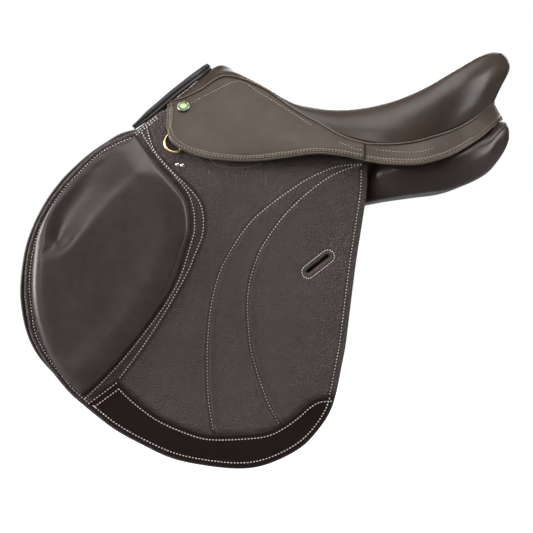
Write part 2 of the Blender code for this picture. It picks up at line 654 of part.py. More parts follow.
def build_girth_straps():
    """Three punched girth straps a side and the guard that slides on them."""
    fold_y = side_y(STRAP_FOLD_Z) - (STRAP_OUTER + STRAP_INNER) / 2
    pivot = (0, fold_y, STRAP_FOLD_Z)
    half = STRAP_WIDTH / 2
    for index, label in enumerate(("front", "middle", "rear")):
        x = STRAP_FRONT_X + index * STRAP_PITCH
        outline = [
            (x - half, 37.5), (x - half, STRAP_TIP_Z + 14), (x - 4, STRAP_TIP_Z), (x + 4, STRAP_TIP_Z),
            (x + half, STRAP_TIP_Z + 14), (x + half, 37.5),
        ]
        straps = place_pair(f"girth_strap_{label}", sheet(outline, STRAP_OUTER, STRAP_INNER), LEATHER, pivot)
        for strap, side in zip(straps, (-1, 1)):
            holes = bmesh.new()
            for hole in range(STRAP_HOLES):
                z = STRAP_TIP_Z + 32 + hole * STRAP_HOLE_PITCH
                place_at = Matrix.Translation((x, side * (side_y(z) - 12.5), z))
                matrix = place_at @ Matrix.Rotation(math.pi / 2, 4, "X")
                bmesh.ops.create_cone(
                    holes, cap_ends=True, segments=8, radius1=STRAP_HOLE_RADIUS,
                    radius2=STRAP_HOLE_RADIUS, depth=12, matrix=matrix,
                )
            cut(strap, cutter(f"hole_cutter_{strap.name}", holes))

    sections = []
    for z in GUARD_Z:
        y = side_y(z)
        outer = [(GUARD_X[0], 7.9), (GUARD_X[1], 7.9), (GUARD_X[1], 17.1), (GUARD_X[0], 17.1)]
        inner = [(GUARD_X[0] + 2, 9.9), (GUARD_X[1] - 2, 9.9), (GUARD_X[1] - 2, 15.1), (GUARD_X[0] + 2, 15.1)]
        sections.append([[Vector((x, y - d, z)) for x, d in ring] for ring in (outer, inner)])
    sleeve = bmesh.new()
    rings = [[[sleeve.verts.new(p) for p in ring] for ring in level] for level in sections]
    (low_outer, low_inner), (high_outer, high_inner) = rings
    for a, b in ((low_outer, high_outer), (high_inner, low_inner), (low_inner, low_outer), (high_outer, high_inner)):
        for k in range(4):
            m = (k + 1) % 4
            sleeve.faces.new((a[k], a[m], b[m], b[k]))
    place_pair("buckle_guard", sleeve, LINING_LEATHER, pivot)


def build_stirrup_bars():
    """Stirrup bars with their hinged catches and pins."""
    pin_y = 103.0
    bars = place_pair(
        "stirrup_bar", sweep(STIRRUP_BAR_PATH, STIRRUP_BAR_HALF_DEPTH, 5, Vector((0, 0, 1))), STEEL
    )
    nose = []
    for k in range(5):
        angle = math.radians(-90 + 45 * k)
        nose.append((PIN_X + 9 + 4.5 * math.cos(angle), BAR_Z + 4.5 * math.sin(angle)))
    nose += [(PIN_X - 4, BAR_Z + 4.5), (PIN_X - 4, BAR_Z - 4.5)]
    plate = prism([Vector((x, pin_y + 0.4, z)) for x, z in nose], Vector((0, 2.6, 0)))
    catches = place_pair("stirrup_catch", plate, STEEL, (PIN_X, pin_y, BAR_Z))
    pin_profile = [(-3.0, PIN_RADIUS), (3.3, PIN_RADIUS), (3.3, 2.4), (4.2, 2.2)]
    place_pair("catch_pin", turned(pin_profile, (PIN_X, pin_y, BAR_Z), (0, 1, 0), 12), STEEL)
    hole_radius = PIN_RADIUS + 0.4
    for target, side in zip([*bars, *catches], (-1, 1, -1, 1)):
        hole = turned(
            [(-4, hole_radius), (6, hole_radius)], (PIN_X, side * pin_y, BAR_Z), (0, side, 0), 12
        )
        cut(target, cutter(f"pin_cutter_{target.name}", hole))


def dee_point(x, z):
    """A point of the dee ring's centre line, lying just off the flap head."""
    return Vector((x, side_y(z) + DEE_STANDOFF, z))


def build_dees():
    """Front dee rings, each turning on its straight side in a folded metal chape."""
    top = Vector((DEE_TOP[0], DEE_TOP[1]))
    bottom = Vector((DEE_BOTTOM[0], DEE_BOTTOM[1]))
    middle = (top + bottom) / 2
    half = (top - bottom) / 2
    forward = Vector((-half.y, half.x)).normalized()
    if forward.x > 0:
        forward = -forward
    ring = []
    low = dee_point(*DEE_BOTTOM)
    high = dee_point(*DEE_TOP)
    for k in range(4):
        ring.append(low.lerp(high, k / 3))
    for k in range(1, 10):
        angle = math.pi * k / 10
        spot = middle + half * math.cos(angle) + forward * DEE_BOW * math.sin(angle) ** 0.8
        ring.append(dee_point(spot.x, spot.y))
    pivot = (low + high) / 2
    place_pair("dee_ring", tube(ring, DEE_WIRE, 8, closed=True), BRASS, pivot)

    axis = (high - low).normalized()
    out = Vector((0, 1, SIDE_SPLAY + 2 * SIDE_CURL * (middle.y - SIDE_Z)))
    out = (out - axis * out.dot(axis)).normalized()
    rearward = axis.cross(out)
    if rearward.x < 0:
        rearward = -rearward
    outer = [200, 150, 110, 70, 30]
    profile = [(math.cos(math.radians(a)) * 3.1, math.sin(math.radians(a)) * 3.1) for a in outer]
    profile += [(14.0, -0.6), (14.0, -2.2), (2.6, -1.2)]
    profile += [(math.cos(math.radians(a)) * 2.2, math.sin(math.radians(a)) * 2.2) for a in reversed(outer)]
    loop = [pivot - axis * 5 + rearward * a + out * b for a, b in profile]
    place_pair("dee_chape", prism(loop, axis * 10), BRASS)


def panel_section(x, inner, outer, thick):
    """One rounded section of a panel in the plane of x."""
    a = Vector((x, *inner))
    b = Vector((x, *outer))
    middle = (a + b) / 2
    along = (b - a) / 2
    across = Vector((0, -along.z, along.y)).normalized() * thick / 2
    loop = []
    for k in range(14):
        angle = 2 * math.pi * k / 14
        c = math.cos(angle)
        s = math.sin(angle)
        wide = math.copysign(abs(c) ** 0.75, c)
        deep = math.copysign(abs(s) ** 0.6, s)
        loop.append(middle + along * wide + across * deep)
    return loop


def build_panels():
    """The two panels that rest on the horse and the lining of the channel between them."""
    place_pair("panel", loft([panel_section(*section) for section in PANEL_SECTIONS]), LEATHER)
    net = []
    for x, z in LINING_ROWS:
        half = LINING_HALF_WIDTH
        row = [(x, half, z - 3), (x, half * 0.5, z + 1.5), (x, 0, z + 3), (x, -half * 0.5, z + 1.5)]
        net.append([Vector(p) for p in [*row, (x, -half, z - 3)]])
    upper = smooth_net(net, 1, 1)
    lower = [[p + Vector((0, 0, -2)) for p in line] for line in upper]
    place("gullet_lining", shell(upper, lower), LINING_LEATHER)


def build_facing():
    """The rolled facing round the front of the pommel."""
    half = list(reversed(FACING_PATH))
    place("pommel_facing", tube(spline(both_sides(half), 1), FACING_RADIUS, 8), LEATHER)


def main():
    """Clear the scene and build every piece."""
    for obj in list(bpy.data.objects):
        bpy.data.objects.remove(obj)
    build_tree()
    build_webs()
    build_seat()
    build_skirts()
    build_flaps()
    build_girth_straps()
    build_stirrup_bars()
    build_dees()
    build_panels()
    build_facing()


main()
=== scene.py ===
"""Studio model of an English jumping saddle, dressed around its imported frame.

Shape numbers are millimetres: +X runs from pommel to cantle, +Z is up, and paired pieces are drawn for the
off side (+Y) and mirrored for the near side. Meshes are written in metres in the frame's own axes.
"""

import json
import logging
import math
from dataclasses import dataclass, field
from enum import Enum
from functools import cache
from typing import Callable, Sequence

import bmesh
import bpy
import numpy as np
from mathutils import Vector
from mathutils.bvhtree import BVHTree
from mathutils.geometry import delaunay_2d_cdt
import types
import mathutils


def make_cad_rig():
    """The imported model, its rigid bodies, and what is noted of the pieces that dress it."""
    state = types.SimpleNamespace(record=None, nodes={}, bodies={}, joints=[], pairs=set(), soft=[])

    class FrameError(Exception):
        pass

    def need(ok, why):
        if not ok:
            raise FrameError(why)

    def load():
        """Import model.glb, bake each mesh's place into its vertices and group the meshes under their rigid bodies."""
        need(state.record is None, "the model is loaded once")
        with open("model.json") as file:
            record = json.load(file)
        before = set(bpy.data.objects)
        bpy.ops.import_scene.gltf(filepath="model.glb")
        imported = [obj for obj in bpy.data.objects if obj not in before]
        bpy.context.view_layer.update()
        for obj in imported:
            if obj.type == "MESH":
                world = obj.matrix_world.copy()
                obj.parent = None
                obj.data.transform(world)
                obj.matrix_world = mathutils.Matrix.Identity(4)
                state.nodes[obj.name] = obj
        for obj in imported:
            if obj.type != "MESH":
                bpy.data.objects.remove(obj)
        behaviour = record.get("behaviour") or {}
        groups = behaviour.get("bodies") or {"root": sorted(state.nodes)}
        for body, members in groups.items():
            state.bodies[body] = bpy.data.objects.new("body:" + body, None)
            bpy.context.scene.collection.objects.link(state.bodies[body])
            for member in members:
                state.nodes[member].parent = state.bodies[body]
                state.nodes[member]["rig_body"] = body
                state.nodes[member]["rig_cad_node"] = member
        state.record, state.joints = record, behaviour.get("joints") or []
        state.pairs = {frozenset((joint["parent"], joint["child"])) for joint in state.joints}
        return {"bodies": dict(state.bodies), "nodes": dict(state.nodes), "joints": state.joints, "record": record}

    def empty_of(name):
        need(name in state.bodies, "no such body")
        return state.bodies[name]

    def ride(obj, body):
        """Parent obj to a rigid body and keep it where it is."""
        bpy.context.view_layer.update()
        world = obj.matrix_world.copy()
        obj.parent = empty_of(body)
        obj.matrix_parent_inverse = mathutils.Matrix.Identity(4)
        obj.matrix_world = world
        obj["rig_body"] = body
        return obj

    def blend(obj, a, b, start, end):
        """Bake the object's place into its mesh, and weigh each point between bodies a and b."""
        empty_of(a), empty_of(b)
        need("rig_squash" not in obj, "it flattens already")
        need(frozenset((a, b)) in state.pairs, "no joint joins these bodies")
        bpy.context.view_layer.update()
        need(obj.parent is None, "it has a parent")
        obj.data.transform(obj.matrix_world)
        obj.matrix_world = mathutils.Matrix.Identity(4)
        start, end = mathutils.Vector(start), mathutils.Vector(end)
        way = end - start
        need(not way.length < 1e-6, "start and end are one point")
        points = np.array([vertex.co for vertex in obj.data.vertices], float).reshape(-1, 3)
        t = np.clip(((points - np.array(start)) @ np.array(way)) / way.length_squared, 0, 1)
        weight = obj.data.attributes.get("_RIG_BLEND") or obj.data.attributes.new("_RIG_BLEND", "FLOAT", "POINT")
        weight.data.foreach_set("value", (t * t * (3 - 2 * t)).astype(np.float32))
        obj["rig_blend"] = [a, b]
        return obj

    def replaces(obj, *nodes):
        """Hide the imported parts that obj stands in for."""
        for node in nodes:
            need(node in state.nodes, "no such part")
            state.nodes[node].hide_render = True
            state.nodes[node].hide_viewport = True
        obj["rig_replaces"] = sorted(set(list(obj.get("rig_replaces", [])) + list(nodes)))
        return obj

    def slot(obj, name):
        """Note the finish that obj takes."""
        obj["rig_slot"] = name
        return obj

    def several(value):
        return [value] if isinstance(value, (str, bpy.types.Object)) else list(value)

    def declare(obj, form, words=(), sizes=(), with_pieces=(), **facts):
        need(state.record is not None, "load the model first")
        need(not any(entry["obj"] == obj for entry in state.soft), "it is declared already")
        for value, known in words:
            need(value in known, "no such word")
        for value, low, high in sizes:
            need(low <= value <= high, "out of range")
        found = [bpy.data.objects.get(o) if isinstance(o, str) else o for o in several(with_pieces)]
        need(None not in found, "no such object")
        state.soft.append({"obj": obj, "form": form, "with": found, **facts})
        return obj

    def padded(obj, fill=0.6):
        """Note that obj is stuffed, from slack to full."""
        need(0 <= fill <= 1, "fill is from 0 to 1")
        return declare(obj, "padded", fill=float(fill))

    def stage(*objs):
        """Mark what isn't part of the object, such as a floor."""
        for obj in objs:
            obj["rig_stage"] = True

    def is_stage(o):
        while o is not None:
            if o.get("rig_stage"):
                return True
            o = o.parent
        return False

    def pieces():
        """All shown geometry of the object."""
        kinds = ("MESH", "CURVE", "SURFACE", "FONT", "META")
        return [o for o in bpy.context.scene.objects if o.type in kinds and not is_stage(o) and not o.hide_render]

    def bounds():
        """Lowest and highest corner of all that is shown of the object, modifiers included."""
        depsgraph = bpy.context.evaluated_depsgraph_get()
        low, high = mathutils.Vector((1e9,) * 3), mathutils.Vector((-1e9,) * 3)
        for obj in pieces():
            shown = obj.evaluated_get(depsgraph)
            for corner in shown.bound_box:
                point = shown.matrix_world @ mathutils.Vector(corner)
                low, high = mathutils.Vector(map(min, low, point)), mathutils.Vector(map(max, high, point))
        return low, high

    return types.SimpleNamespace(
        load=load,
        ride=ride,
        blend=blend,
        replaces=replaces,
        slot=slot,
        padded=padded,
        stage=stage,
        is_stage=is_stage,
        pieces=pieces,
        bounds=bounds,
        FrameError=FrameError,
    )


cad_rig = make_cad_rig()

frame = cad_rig.load()
CAD_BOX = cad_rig.bounds()

log = logging.getLogger("saddle")

MM = 0.001
TINY = 1e-9
SIZE_FILE = "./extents.json"

Array = np.ndarray
Point = Sequence[float]
Colour = tuple[float, float, float]
Feeds = dict[str | int, object]


class Side(Enum):
    """Which side of the saddle a paired piece is on."""

    LEFT = -1
    RIGHT = 1

    @property
    def label(self) -> str:
        """The word used in the names of pieces and bodies."""
        return self.name.lower()


# ---------------------------------------------------------------------- curves


def side_y(z: Array | float) -> Array | float:
    """Distance of the flap's outer face from the mid-plane at height z."""
    rise = z - 4.0
    return 123.0 - 0.137 * rise - 0.00222 * np.maximum(rise, 0.0) ** 2


def spline_weights(knots: int, at: Array) -> Array:
    """Weights of a smooth curve through knots that have one ghost knot before and one after them.

    Args:
        knots: How many real knots there are.
        at: Places along the curve, from 0 at the first real knot to knots - 1 at the last.

    Returns:
        One row of weights for each place, over the knots with their two ghosts.
    """
    span = np.clip(np.floor(at).astype(int), 0, knots - 2)
    t = at - span
    parts = [-t + 2 * t**2 - t**3, 2 - 5 * t**2 + 3 * t**3, t + 4 * t**2 - 3 * t**3, t**3 - t**2]
    table = np.zeros((len(at), knots + 2))
    rows = np.arange(len(at))
    for k, part in enumerate(parts):
        table[rows, span + k] += part / 2
    return table


def with_ghosts(knots: Array) -> Array:
    """The knots with one more, in line with its neighbours, at each end."""
    return np.concatenate([[2 * knots[0] - knots[1]], knots, [2 * knots[-1] - knots[-2]]])


def resample(points: Array, step: float) -> Array:
    """The same line with its points evenly spaced, about a step apart."""
    lengths = np.linalg.norm(np.diff(points, axis=0), axis=1)
    along = np.concatenate([[0.0], np.cumsum(lengths)])
    count = max(2, round(along[-1] / step) + 1)
    wanted = np.linspace(0, along[-1], count)
    return np.stack([np.interp(wanted, along, column) for column in points.T], 1)


def curve(knots: Sequence[Point], step: float) -> Array:
    """Evenly spaced points on a smooth curve through the knots."""
    known = np.array(knots, float)
    fine = np.linspace(0, len(known) - 1, (len(known) - 1) * 16 + 1)
    return resample(spline_weights(len(known), fine) @ with_ghosts(known), step)


def outline_of(runs: Sequence[tuple[bool, Sequence[Point]]], step: float) -> Array:
    """A closed outline, as one loop without its repeated last point.

    Args:
        runs: Stretches of the outline. Each is (smooth, knots) and ends where the next one starts.
        step: Distance between neighbouring points.

    Returns:
        The loop's points.
    """
    loop = []
    for smooth, knots in runs:
        if smooth:
            loop.append(curve(knots, step)[:-1])
            continue
        for a, b in zip(knots, knots[1:]):
            loop.append(resample(np.array([a, b], float), step)[:-1])
    return np.concatenate(loop)


def distance_to(spots: Array, line: Array) -> tuple[Array, Array]:
    """How far each spot is from a line, and where along the line its nearest point lies.

    Args:
        spots: Points, one a row.
        line: The line's points, one a row.

    Returns:
        The distances, and the places along the line from 0 to 1.
    """
    a, b = line[:-1], line[1:]
    run = b - a
    squared = np.maximum((run**2).sum(1), TINY)
    best, place = [], []
    for block in np.array_split(spots, max(1, len(spots) // 3000)):
        offset = block[:, None, :] - a[None]
        t = np.clip((offset * run).sum(2) / squared, 0, 1)
        gap = np.linalg.norm(offset - t[..., None] * run, axis=2)
        nearest = gap.argmin(1)
        rows = np.arange(len(block))
        best.append(gap[rows, nearest])
        place.append((nearest + t[rows, nearest]) / len(run))
    return np.concatenate(best), np.concatenate(place)


def closed(loop: Array) -> Array:
    """A loop with its first point repeated at its end."""
    return np.concatenate([loop, loop[:1]])


def inside(spots: Array, loop: Array) -> Array:
    """Whether each spot lies inside a closed loop of the plane."""
    x, z = spots[:, 0], spots[:, 1]
    within = np.zeros(len(spots), bool)
    for (ax, az), (bx, bz) in zip(loop, np.roll(loop, -1, axis=0)):
        if az == bz:
            continue
        crosses = (az > z) != (bz > z)
        within ^= crosses & (x < (bx - ax) * (z - az) / (bz - az) + ax)
    return within


def offset_line(line: Array, distance: float) -> Array:
    """A flat line moved sideways, to the left of its direction."""
    run = units(np.gradient(line, axis=0))
    return line + np.stack([-run[:, 1], run[:, 0]], 1) * distance


def bell(value: Array, width: float) -> Array:
    """A smooth bump that is 1 at 0 and fades over the width."""
    return np.exp(-((value / width) ** 2))


def fade(value: Array, low: float, high: float) -> Array:
    """0 below low, 1 above high and smooth between them."""
    t = np.clip((value - low) / (high - low), 0, 1)
    return t * t * (3 - 2 * t)


def domed(gap: Array, reach: float) -> Array:
    """0 at an edge, rising like a quarter circle to 1 at reach inside it."""
    left = 1 - np.clip(gap / reach, 0, 1)
    return np.sqrt(1 - left**2)


def rounded(depth: Array, radius: float) -> Array:
    """How far a surface drops towards its edge, for a rounded edge, by depth inside the edge."""
    left = np.clip(radius - depth, 0, radius)
    return radius - np.sqrt(np.maximum(radius**2 - left**2, 0.0))


# ---------------------------------------------------------------------- meshes


@dataclass
class Shape:
    """A mesh in millimetres for the off side, with a value at each point that lightens its colour: scuffing at its
    edges, on some pieces a painted highlight, and the paling of the badge's enamel.
    """

    verts: Array
    faces: list[tuple[int, ...]]
    wear: Array | None = None
    slots: list[int] | None = None

    def joined(self, other: "Shape") -> "Shape":
        """This shape and another one as a single shape."""
        shift = len(self.verts)
        moved = [tuple(v + shift for v in face) for face in other.faces]
        wear = None
        if self.wear is not None and other.wear is not None:
            wear = np.concatenate([self.wear, other.wear])
        slots = (self.slots or [0] * len(self.faces)) + (other.slots or [0] * len(other.faces))
        return Shape(np.concatenate([self.verts, other.verts]), self.faces + moved, wear, slots)

    def place(
        self, name: str, materials: Sequence[bpy.types.Material], side: Side = Side.RIGHT
    ) -> bpy.types.Object:
        """Make the object, mirrored over the mid-plane when it is for the near side.

        Args:
            name: The piece's name.
            materials: Its materials, in the order of the shape's slots.
            side: The side it is for.

        Returns:
            The object, with smooth shading and its faces turned outwards.
        """
        verts = self.verts * MM
        if side is Side.LEFT:
            verts = verts * (1, -1, 1)
        mesh = bpy.data.meshes.new(name)
        mesh.from_pydata(verts.tolist(), [], self.faces)
        if self.slots is not None:
            mesh.polygons.foreach_set("material_index", self.slots)
        wear = np.zeros(len(verts)) if self.wear is None else self.wear
        mesh.attributes.new("wear", "FLOAT", "POINT").data.foreach_set("value", wear.astype(np.float32))
        for material in materials:
            mesh.materials.append(material)
        bm = bmesh.new()
        bm.from_mesh(mesh)
        bmesh.ops.recalc_face_normals(bm, faces=bm.faces)
        bm.to_mesh(mesh)
        bm.free()
        mesh.shade_smooth()
        obj = bpy.data.objects.new(name, mesh)
        bpy.context.scene.collection.objects.link(obj)
        return obj


@dataclass
class Pattern:
    """A flat cut of leather in X and Z, split into triangles that follow its lines.

    Attributes:
        outline: The outer loop.
        holes: Loops cut out of it.
        guides: Lines that get points of their own, so that relief along them is crisp.
        spacing: Distance between points away from every line.
    """

    outline: Array
    holes: list[Array] = field(default_factory=list)
    guides: list[Array] = field(default_factory=list)
    spacing: float = 5.0

    def loops(self) -> list[Array]:
        """The outline and the holes."""
        return [self.outline, *self.holes]

    def edge_distance(self, spots: Array) -> Array:
        """How far each spot is from the outline or the nearest hole."""
        return np.min([distance_to(spots, closed(loop))[0] for loop in self.loops()], axis=0)

    def cut(self, fine: bool) -> tuple[Array, list[tuple[int, int, int]]]:
        """Triangles over the pattern. The points of its loops come first, in order.

        Args:
            fine: Whether the guides and the rounded edge get their points, as on a front face.

        Returns:
            The points and the triangles.
        """
        fixed = np.concatenate(self.loops())
        groups = []
        if fine:
            for depth in (0.5, 1.2, 2.4):
                for number, loop in enumerate(self.loops()):
                    turn = depth if number or not self.is_clockwise() else -depth
                    groups.append((offset_line(closed(loop), turn)[:-1], 0.45 * depth))
            groups += [(guide, 1.1) for guide in self.guides]
        spacing = self.spacing if fine else 3 * self.spacing
        low, high = self.outline.min(0), self.outline.max(0)
        xs = np.arange(low[0], high[0], spacing)
        zs = np.arange(low[1], high[1], spacing * 0.87)
        grid = [(x + (k % 2) * spacing / 2, z) for k, z in enumerate(zs) for x in xs]
        groups.append((np.array(grid), 0.62 * spacing))
        points = self.thinned(fixed, groups)
        edges = []
        start = 0
        for loop in self.loops():
            count = len(loop)
            edges += [(start + k, start + (k + 1) % count) for k in range(count)]
            start += count
        made = delaunay_2d_cdt([Vector(p) for p in points.tolist()], edges, [], 0, 1e-5)
        order, extra = {}, []
        for k, source in enumerate(made[3 if len(made) > 5 else 0]):
            if len(source):
                order[k] = source[0]
            else:
                order[k] = len(points) + len(extra)
                extra.append(tuple(made[0][k]))
        if extra:
            points = np.concatenate([points, np.array(extra)])
        tris = np.array([[order[v] for v in face] for face in made[2]])
        return points, [tuple(map(int, t)) for t in tris[self.on_leather(points[tris].mean(1))]]

    def on_leather(self, spots: Array) -> Array:
        """Whether each spot lies inside the outline and outside every hole."""
        within = inside(spots, self.outline)
        for hole in self.holes:
            within &= ~inside(spots, hole)
        return within

    def is_clockwise(self) -> bool:
        """Whether the outline runs clockwise."""
        x, z = self.outline.T
        return float((x * np.roll(z, -1) - np.roll(x, -1) * z).sum()) < 0

    def thinned(self, fixed: Array, groups: list[tuple[Array, float]]) -> Array:
        """The fixed points and those of the groups that lie inside and aren't crowded.

        Args:
            fixed: Points that are always kept.
            groups: Further points, each group with the least distance to any point kept before.

        Returns:
            All kept points, the fixed ones first.
        """
        cell = 3.0
        kept = [tuple(p) for p in fixed]
        cells: dict[tuple[int, int], list[tuple[float, float]]] = {}
        for x, z in kept:
            cells.setdefault((math.floor(x / cell), math.floor(z / cell)), []).append((x, z))
        for spots, least in groups:
            reach = math.ceil(least / cell)
            limit = least * least
            for x, z in spots[self.on_leather(spots)]:
                i, j = math.floor(x / cell), math.floor(z / cell)
                near = (
                    other
                    for a in range(i - reach, i + reach + 1)
                    for b in range(j - reach, j + reach + 1)
                    for other in cells.get((a, b), ())
                )
                if any((x - p) ** 2 + (z - q) ** 2 < limit for p, q in near):
                    continue
                cells.setdefault((i, j), []).append((x, z))
                kept.append((float(x), float(z)))
        return np.array(kept)

    def solid(
        self,
        front: Callable[[Array], Array],
        back: float,
        wear: Callable[[Array], Array] | None = None,
    ) -> Shape:
        """A closed sheet that follows the saddle's side.

        Args:
            front: How far its outer face stands out from the flap's plain face, at points of the pattern.
            back: How far its inner face does, everywhere.
            wear: How much lighter the outer face is painted there, for scuffing and for painted highlights; by default
                only its edge is.

        Returns:
            The sheet.
        """
        points, tris = self.cut(True)
        rear, rear_tris = self.cut(False)
        count = len(points)
        verts = np.concatenate([
            np.stack([points[:, 0], side_y(points[:, 1]) + front(points), points[:, 1]], 1),
            np.stack([rear[:, 0], side_y(rear[:, 1]) + back, rear[:, 1]], 1),
        ])
        faces: list[tuple[int, ...]] = [t[::-1] for t in tris]
        faces += [tuple(v + count for v in t) for t in rear_tris]
        start = 0
        for loop in self.loops():
            for k in range(len(loop)):
                a, b = start + k, start + (k + 1) % len(loop)
                faces.append((a, b, b + count, a + count))
            start += len(loop)
        edge = bell(self.edge_distance(points), 1.6)
        shown = edge if wear is None else np.maximum(edge, wear(points))
        return Shape(verts, faces, np.concatenate([shown, bell(self.edge_distance(rear), 1.6)]))


def grid_faces(rows: int, columns: int, wrap: bool = False, ring: bool = False) -> list[tuple[int, ...]]:
    """Quads over a grid of points, joined round over its columns if wrapped, and over its rows if a ring."""
    faces = []
    for i in range(rows if ring else rows - 1):
        a = i * columns
        b = (i + 1) % rows * columns
        for j in range(columns if wrap else columns - 1):
            k = (j + 1) % columns
            faces.append((a + j, b + j, b + k, a + k))
    return faces


def units(vectors: Array) -> Array:
    """Vectors, one a row, at a length of 1."""
    return vectors / np.maximum(np.linalg.norm(vectors, axis=-1, keepdims=True), TINY)


def circle(sides: int) -> Array:
    """The angles of evenly spaced points round a circle."""
    return np.arange(sides) * 2 * math.pi / sides


def rings_round(first: Array, second: Array, sides: int) -> Array:
    """Circles of unit radius, as offsets from their centres.

    Args:
        first: One unit vector across each circle.
        second: Another, square to the first.
        sides: Points round a circle.

    Returns:
        The offsets, one row of points for each circle.
    """
    turns = circle(sides)[None, :, None]
    return first[:, None] * np.cos(turns) + second[:, None] * np.sin(turns)


def blunt(wave: Array, power: float) -> Array:
    """A sine or cosine drawn out towards a square wave, for boxy rounded sections."""
    return np.sign(wave) * np.abs(wave) ** power


def outward_normals(grid: Array) -> Array:
    """Unit normals of a grid of points, on the side that its first row turns away from the mid-plane."""
    normals = units(np.cross(np.gradient(grid, axis=0), np.gradient(grid, axis=1)))
    return -normals if normals[0, :, 1].mean() < 0 else normals


def grid_solid(outer: Array, inner: Array, wear: Array | None = None) -> Shape:
    """A closed body between two grids of points."""
    rows, columns = outer.shape[:2]
    count = rows * columns
    faces = grid_faces(rows, columns)
    faces += [tuple(v + count for v in face[::-1]) for face in grid_faces(rows, columns)]
    rim = [i * columns for i in range(rows)]
    rim += [(rows - 1) * columns + j for j in range(1, columns)]
    rim += [i * columns + columns - 1 for i in range(rows - 2, -1, -1)]
    rim += list(range(columns - 2, 0, -1))
    faces += [(a, b, b + count, a + count) for a, b in zip(rim, rim[1:] + rim[:1])]
    verts = np.concatenate([outer.reshape(-1, 3), inner.reshape(-1, 3)])
    worn = np.zeros(count) if wear is None else wear.reshape(-1)
    return Shape(verts, faces, np.concatenate([worn, worn * 0]))


def loop_solid(loops: Array, wear: Array | None = None) -> Shape:
    """A closed body through loops of points, with a cap at each end."""
    rows, columns = loops.shape[:2]
    faces = grid_faces(rows, columns, wrap=True)
    faces.append(tuple(range(columns)))
    faces.append(tuple(range((rows - 1) * columns, rows * columns)))
    return Shape(loops.reshape(-1, 3), faces, None if wear is None else wear.reshape(-1))


def frames_across(tangent: Array, reference: Point) -> tuple[Array, Array]:
    """Two unit vectors across a path at each of its points.

    Args:
        tangent: The path's unit direction at its points.
        reference: A direction that the first vector keeps close to.

    Returns:
        The two vectors at each point.
    """
    near = np.array(reference, float)
    first = units(near - tangent * (tangent @ near)[:, None])
    return first, np.cross(tangent, first)


def tube(path: Array, radius: float | Array, sides: int = 10, reference: Point = (0.3, 0.9, 0.2)) -> Shape:
    """A round cord along a path, with domed ends."""
    ring = rings_round(*frames_across(units(np.gradient(path, axis=0)), reference), sides)
    size = np.broadcast_to(radius, len(path)).astype(float)
    loops = path[:, None] + ring * size[:, None, None]
    caps = []
    for end, inward in ((0, 1), (-1, -2)):
        out = units(path[end] - path[inward])
        for share, push in ((0.8, 0.55), (0.35, 0.9)):
            caps.append((path[end] + out * size[end] * push) + ring[end] * size[end] * share)
    loops = np.concatenate([[caps[1], caps[0]], loops, [caps[2], caps[3]]])
    return loop_solid(loops, np.full(loops.shape[:2], 0.25))


def band(path: Array, across: Point, width: float, thick: float) -> Shape:
    """A flat strap with rounded edges along a path.

    Args:
        path: The middle of the strap.
        across: The unit vector over the strap's width.
        width: Its width.
        thick: Its thickness.

    Returns:
        The strap.
    """
    side = np.array(across, float)
    up = np.cross(units(np.gradient(path, axis=0)), side)
    half, deep, bevel = width / 2, thick / 2, thick * 0.35
    edge = [(half - bevel, deep), (half - bevel * 0.3, deep * 0.7), (half, 0)]
    edge += [(a, -b) for a, b in edge[1::-1]] + [(0, -deep)]
    section = edge + [(-a, -b) for a, b in edge]
    return loop_solid(np.stack([path + side * a + up * b for a, b in section], 1))


@dataclass(frozen=True)
class Thread:
    """How a row of stitches is sewn."""

    pitch: float = 4.2
    length: float = 2.7
    radius: float = 0.8
    sides: int = 5


FINE_THREAD = Thread(radius=0.6)
STITCH_PROFILE = ((-1, 0.02, -0.5), (-0.7, 0.75, 0.05), (0, 1, 0.4), (0.7, 0.75, 0.05), (1, 0.02, -0.5))


def stitch_row(path: Array, normals: Array, thread: Thread) -> Shape:
    """A row of separate stitches that dip into the leather at their ends.

    Args:
        path: Points on the leather, evenly spaced.
        normals: The leather's outward direction at those points.
        thread: How the row is sewn.

    Returns:
        All the stitches as one shape.
    """
    lengths = np.concatenate([[0.0], np.cumsum(np.linalg.norm(np.diff(path, axis=0), axis=1))])
    count = max(1, int(lengths[-1] / thread.pitch))
    middles = (np.arange(count) + 0.5) * lengths[-1] / count

    def at(values: Array, where: Array) -> Array:
        """Values of the path's points at distances along it."""
        return np.stack([np.interp(where, lengths, column) for column in values.T], 1)

    half = thread.length / 2
    out = units(at(normals, middles))
    run = units(at(path, middles + half) - at(path, middles - half))
    ring = rings_round(np.cross(out, run), out, thread.sides)
    levels = []
    for share, size, lift in STITCH_PROFILE:
        hub = at(path, middles + share * half) + out * lift * thread.radius
        levels.append(hub[:, None] + ring * thread.radius * size)
    verts = np.stack(levels, 1)
    one = loop_solid(verts[0])
    faces = [tuple(v + k * len(one.verts) for v in face) for k in range(count) for face in one.faces]
    return Shape(verts.reshape(-1, 3), faces)


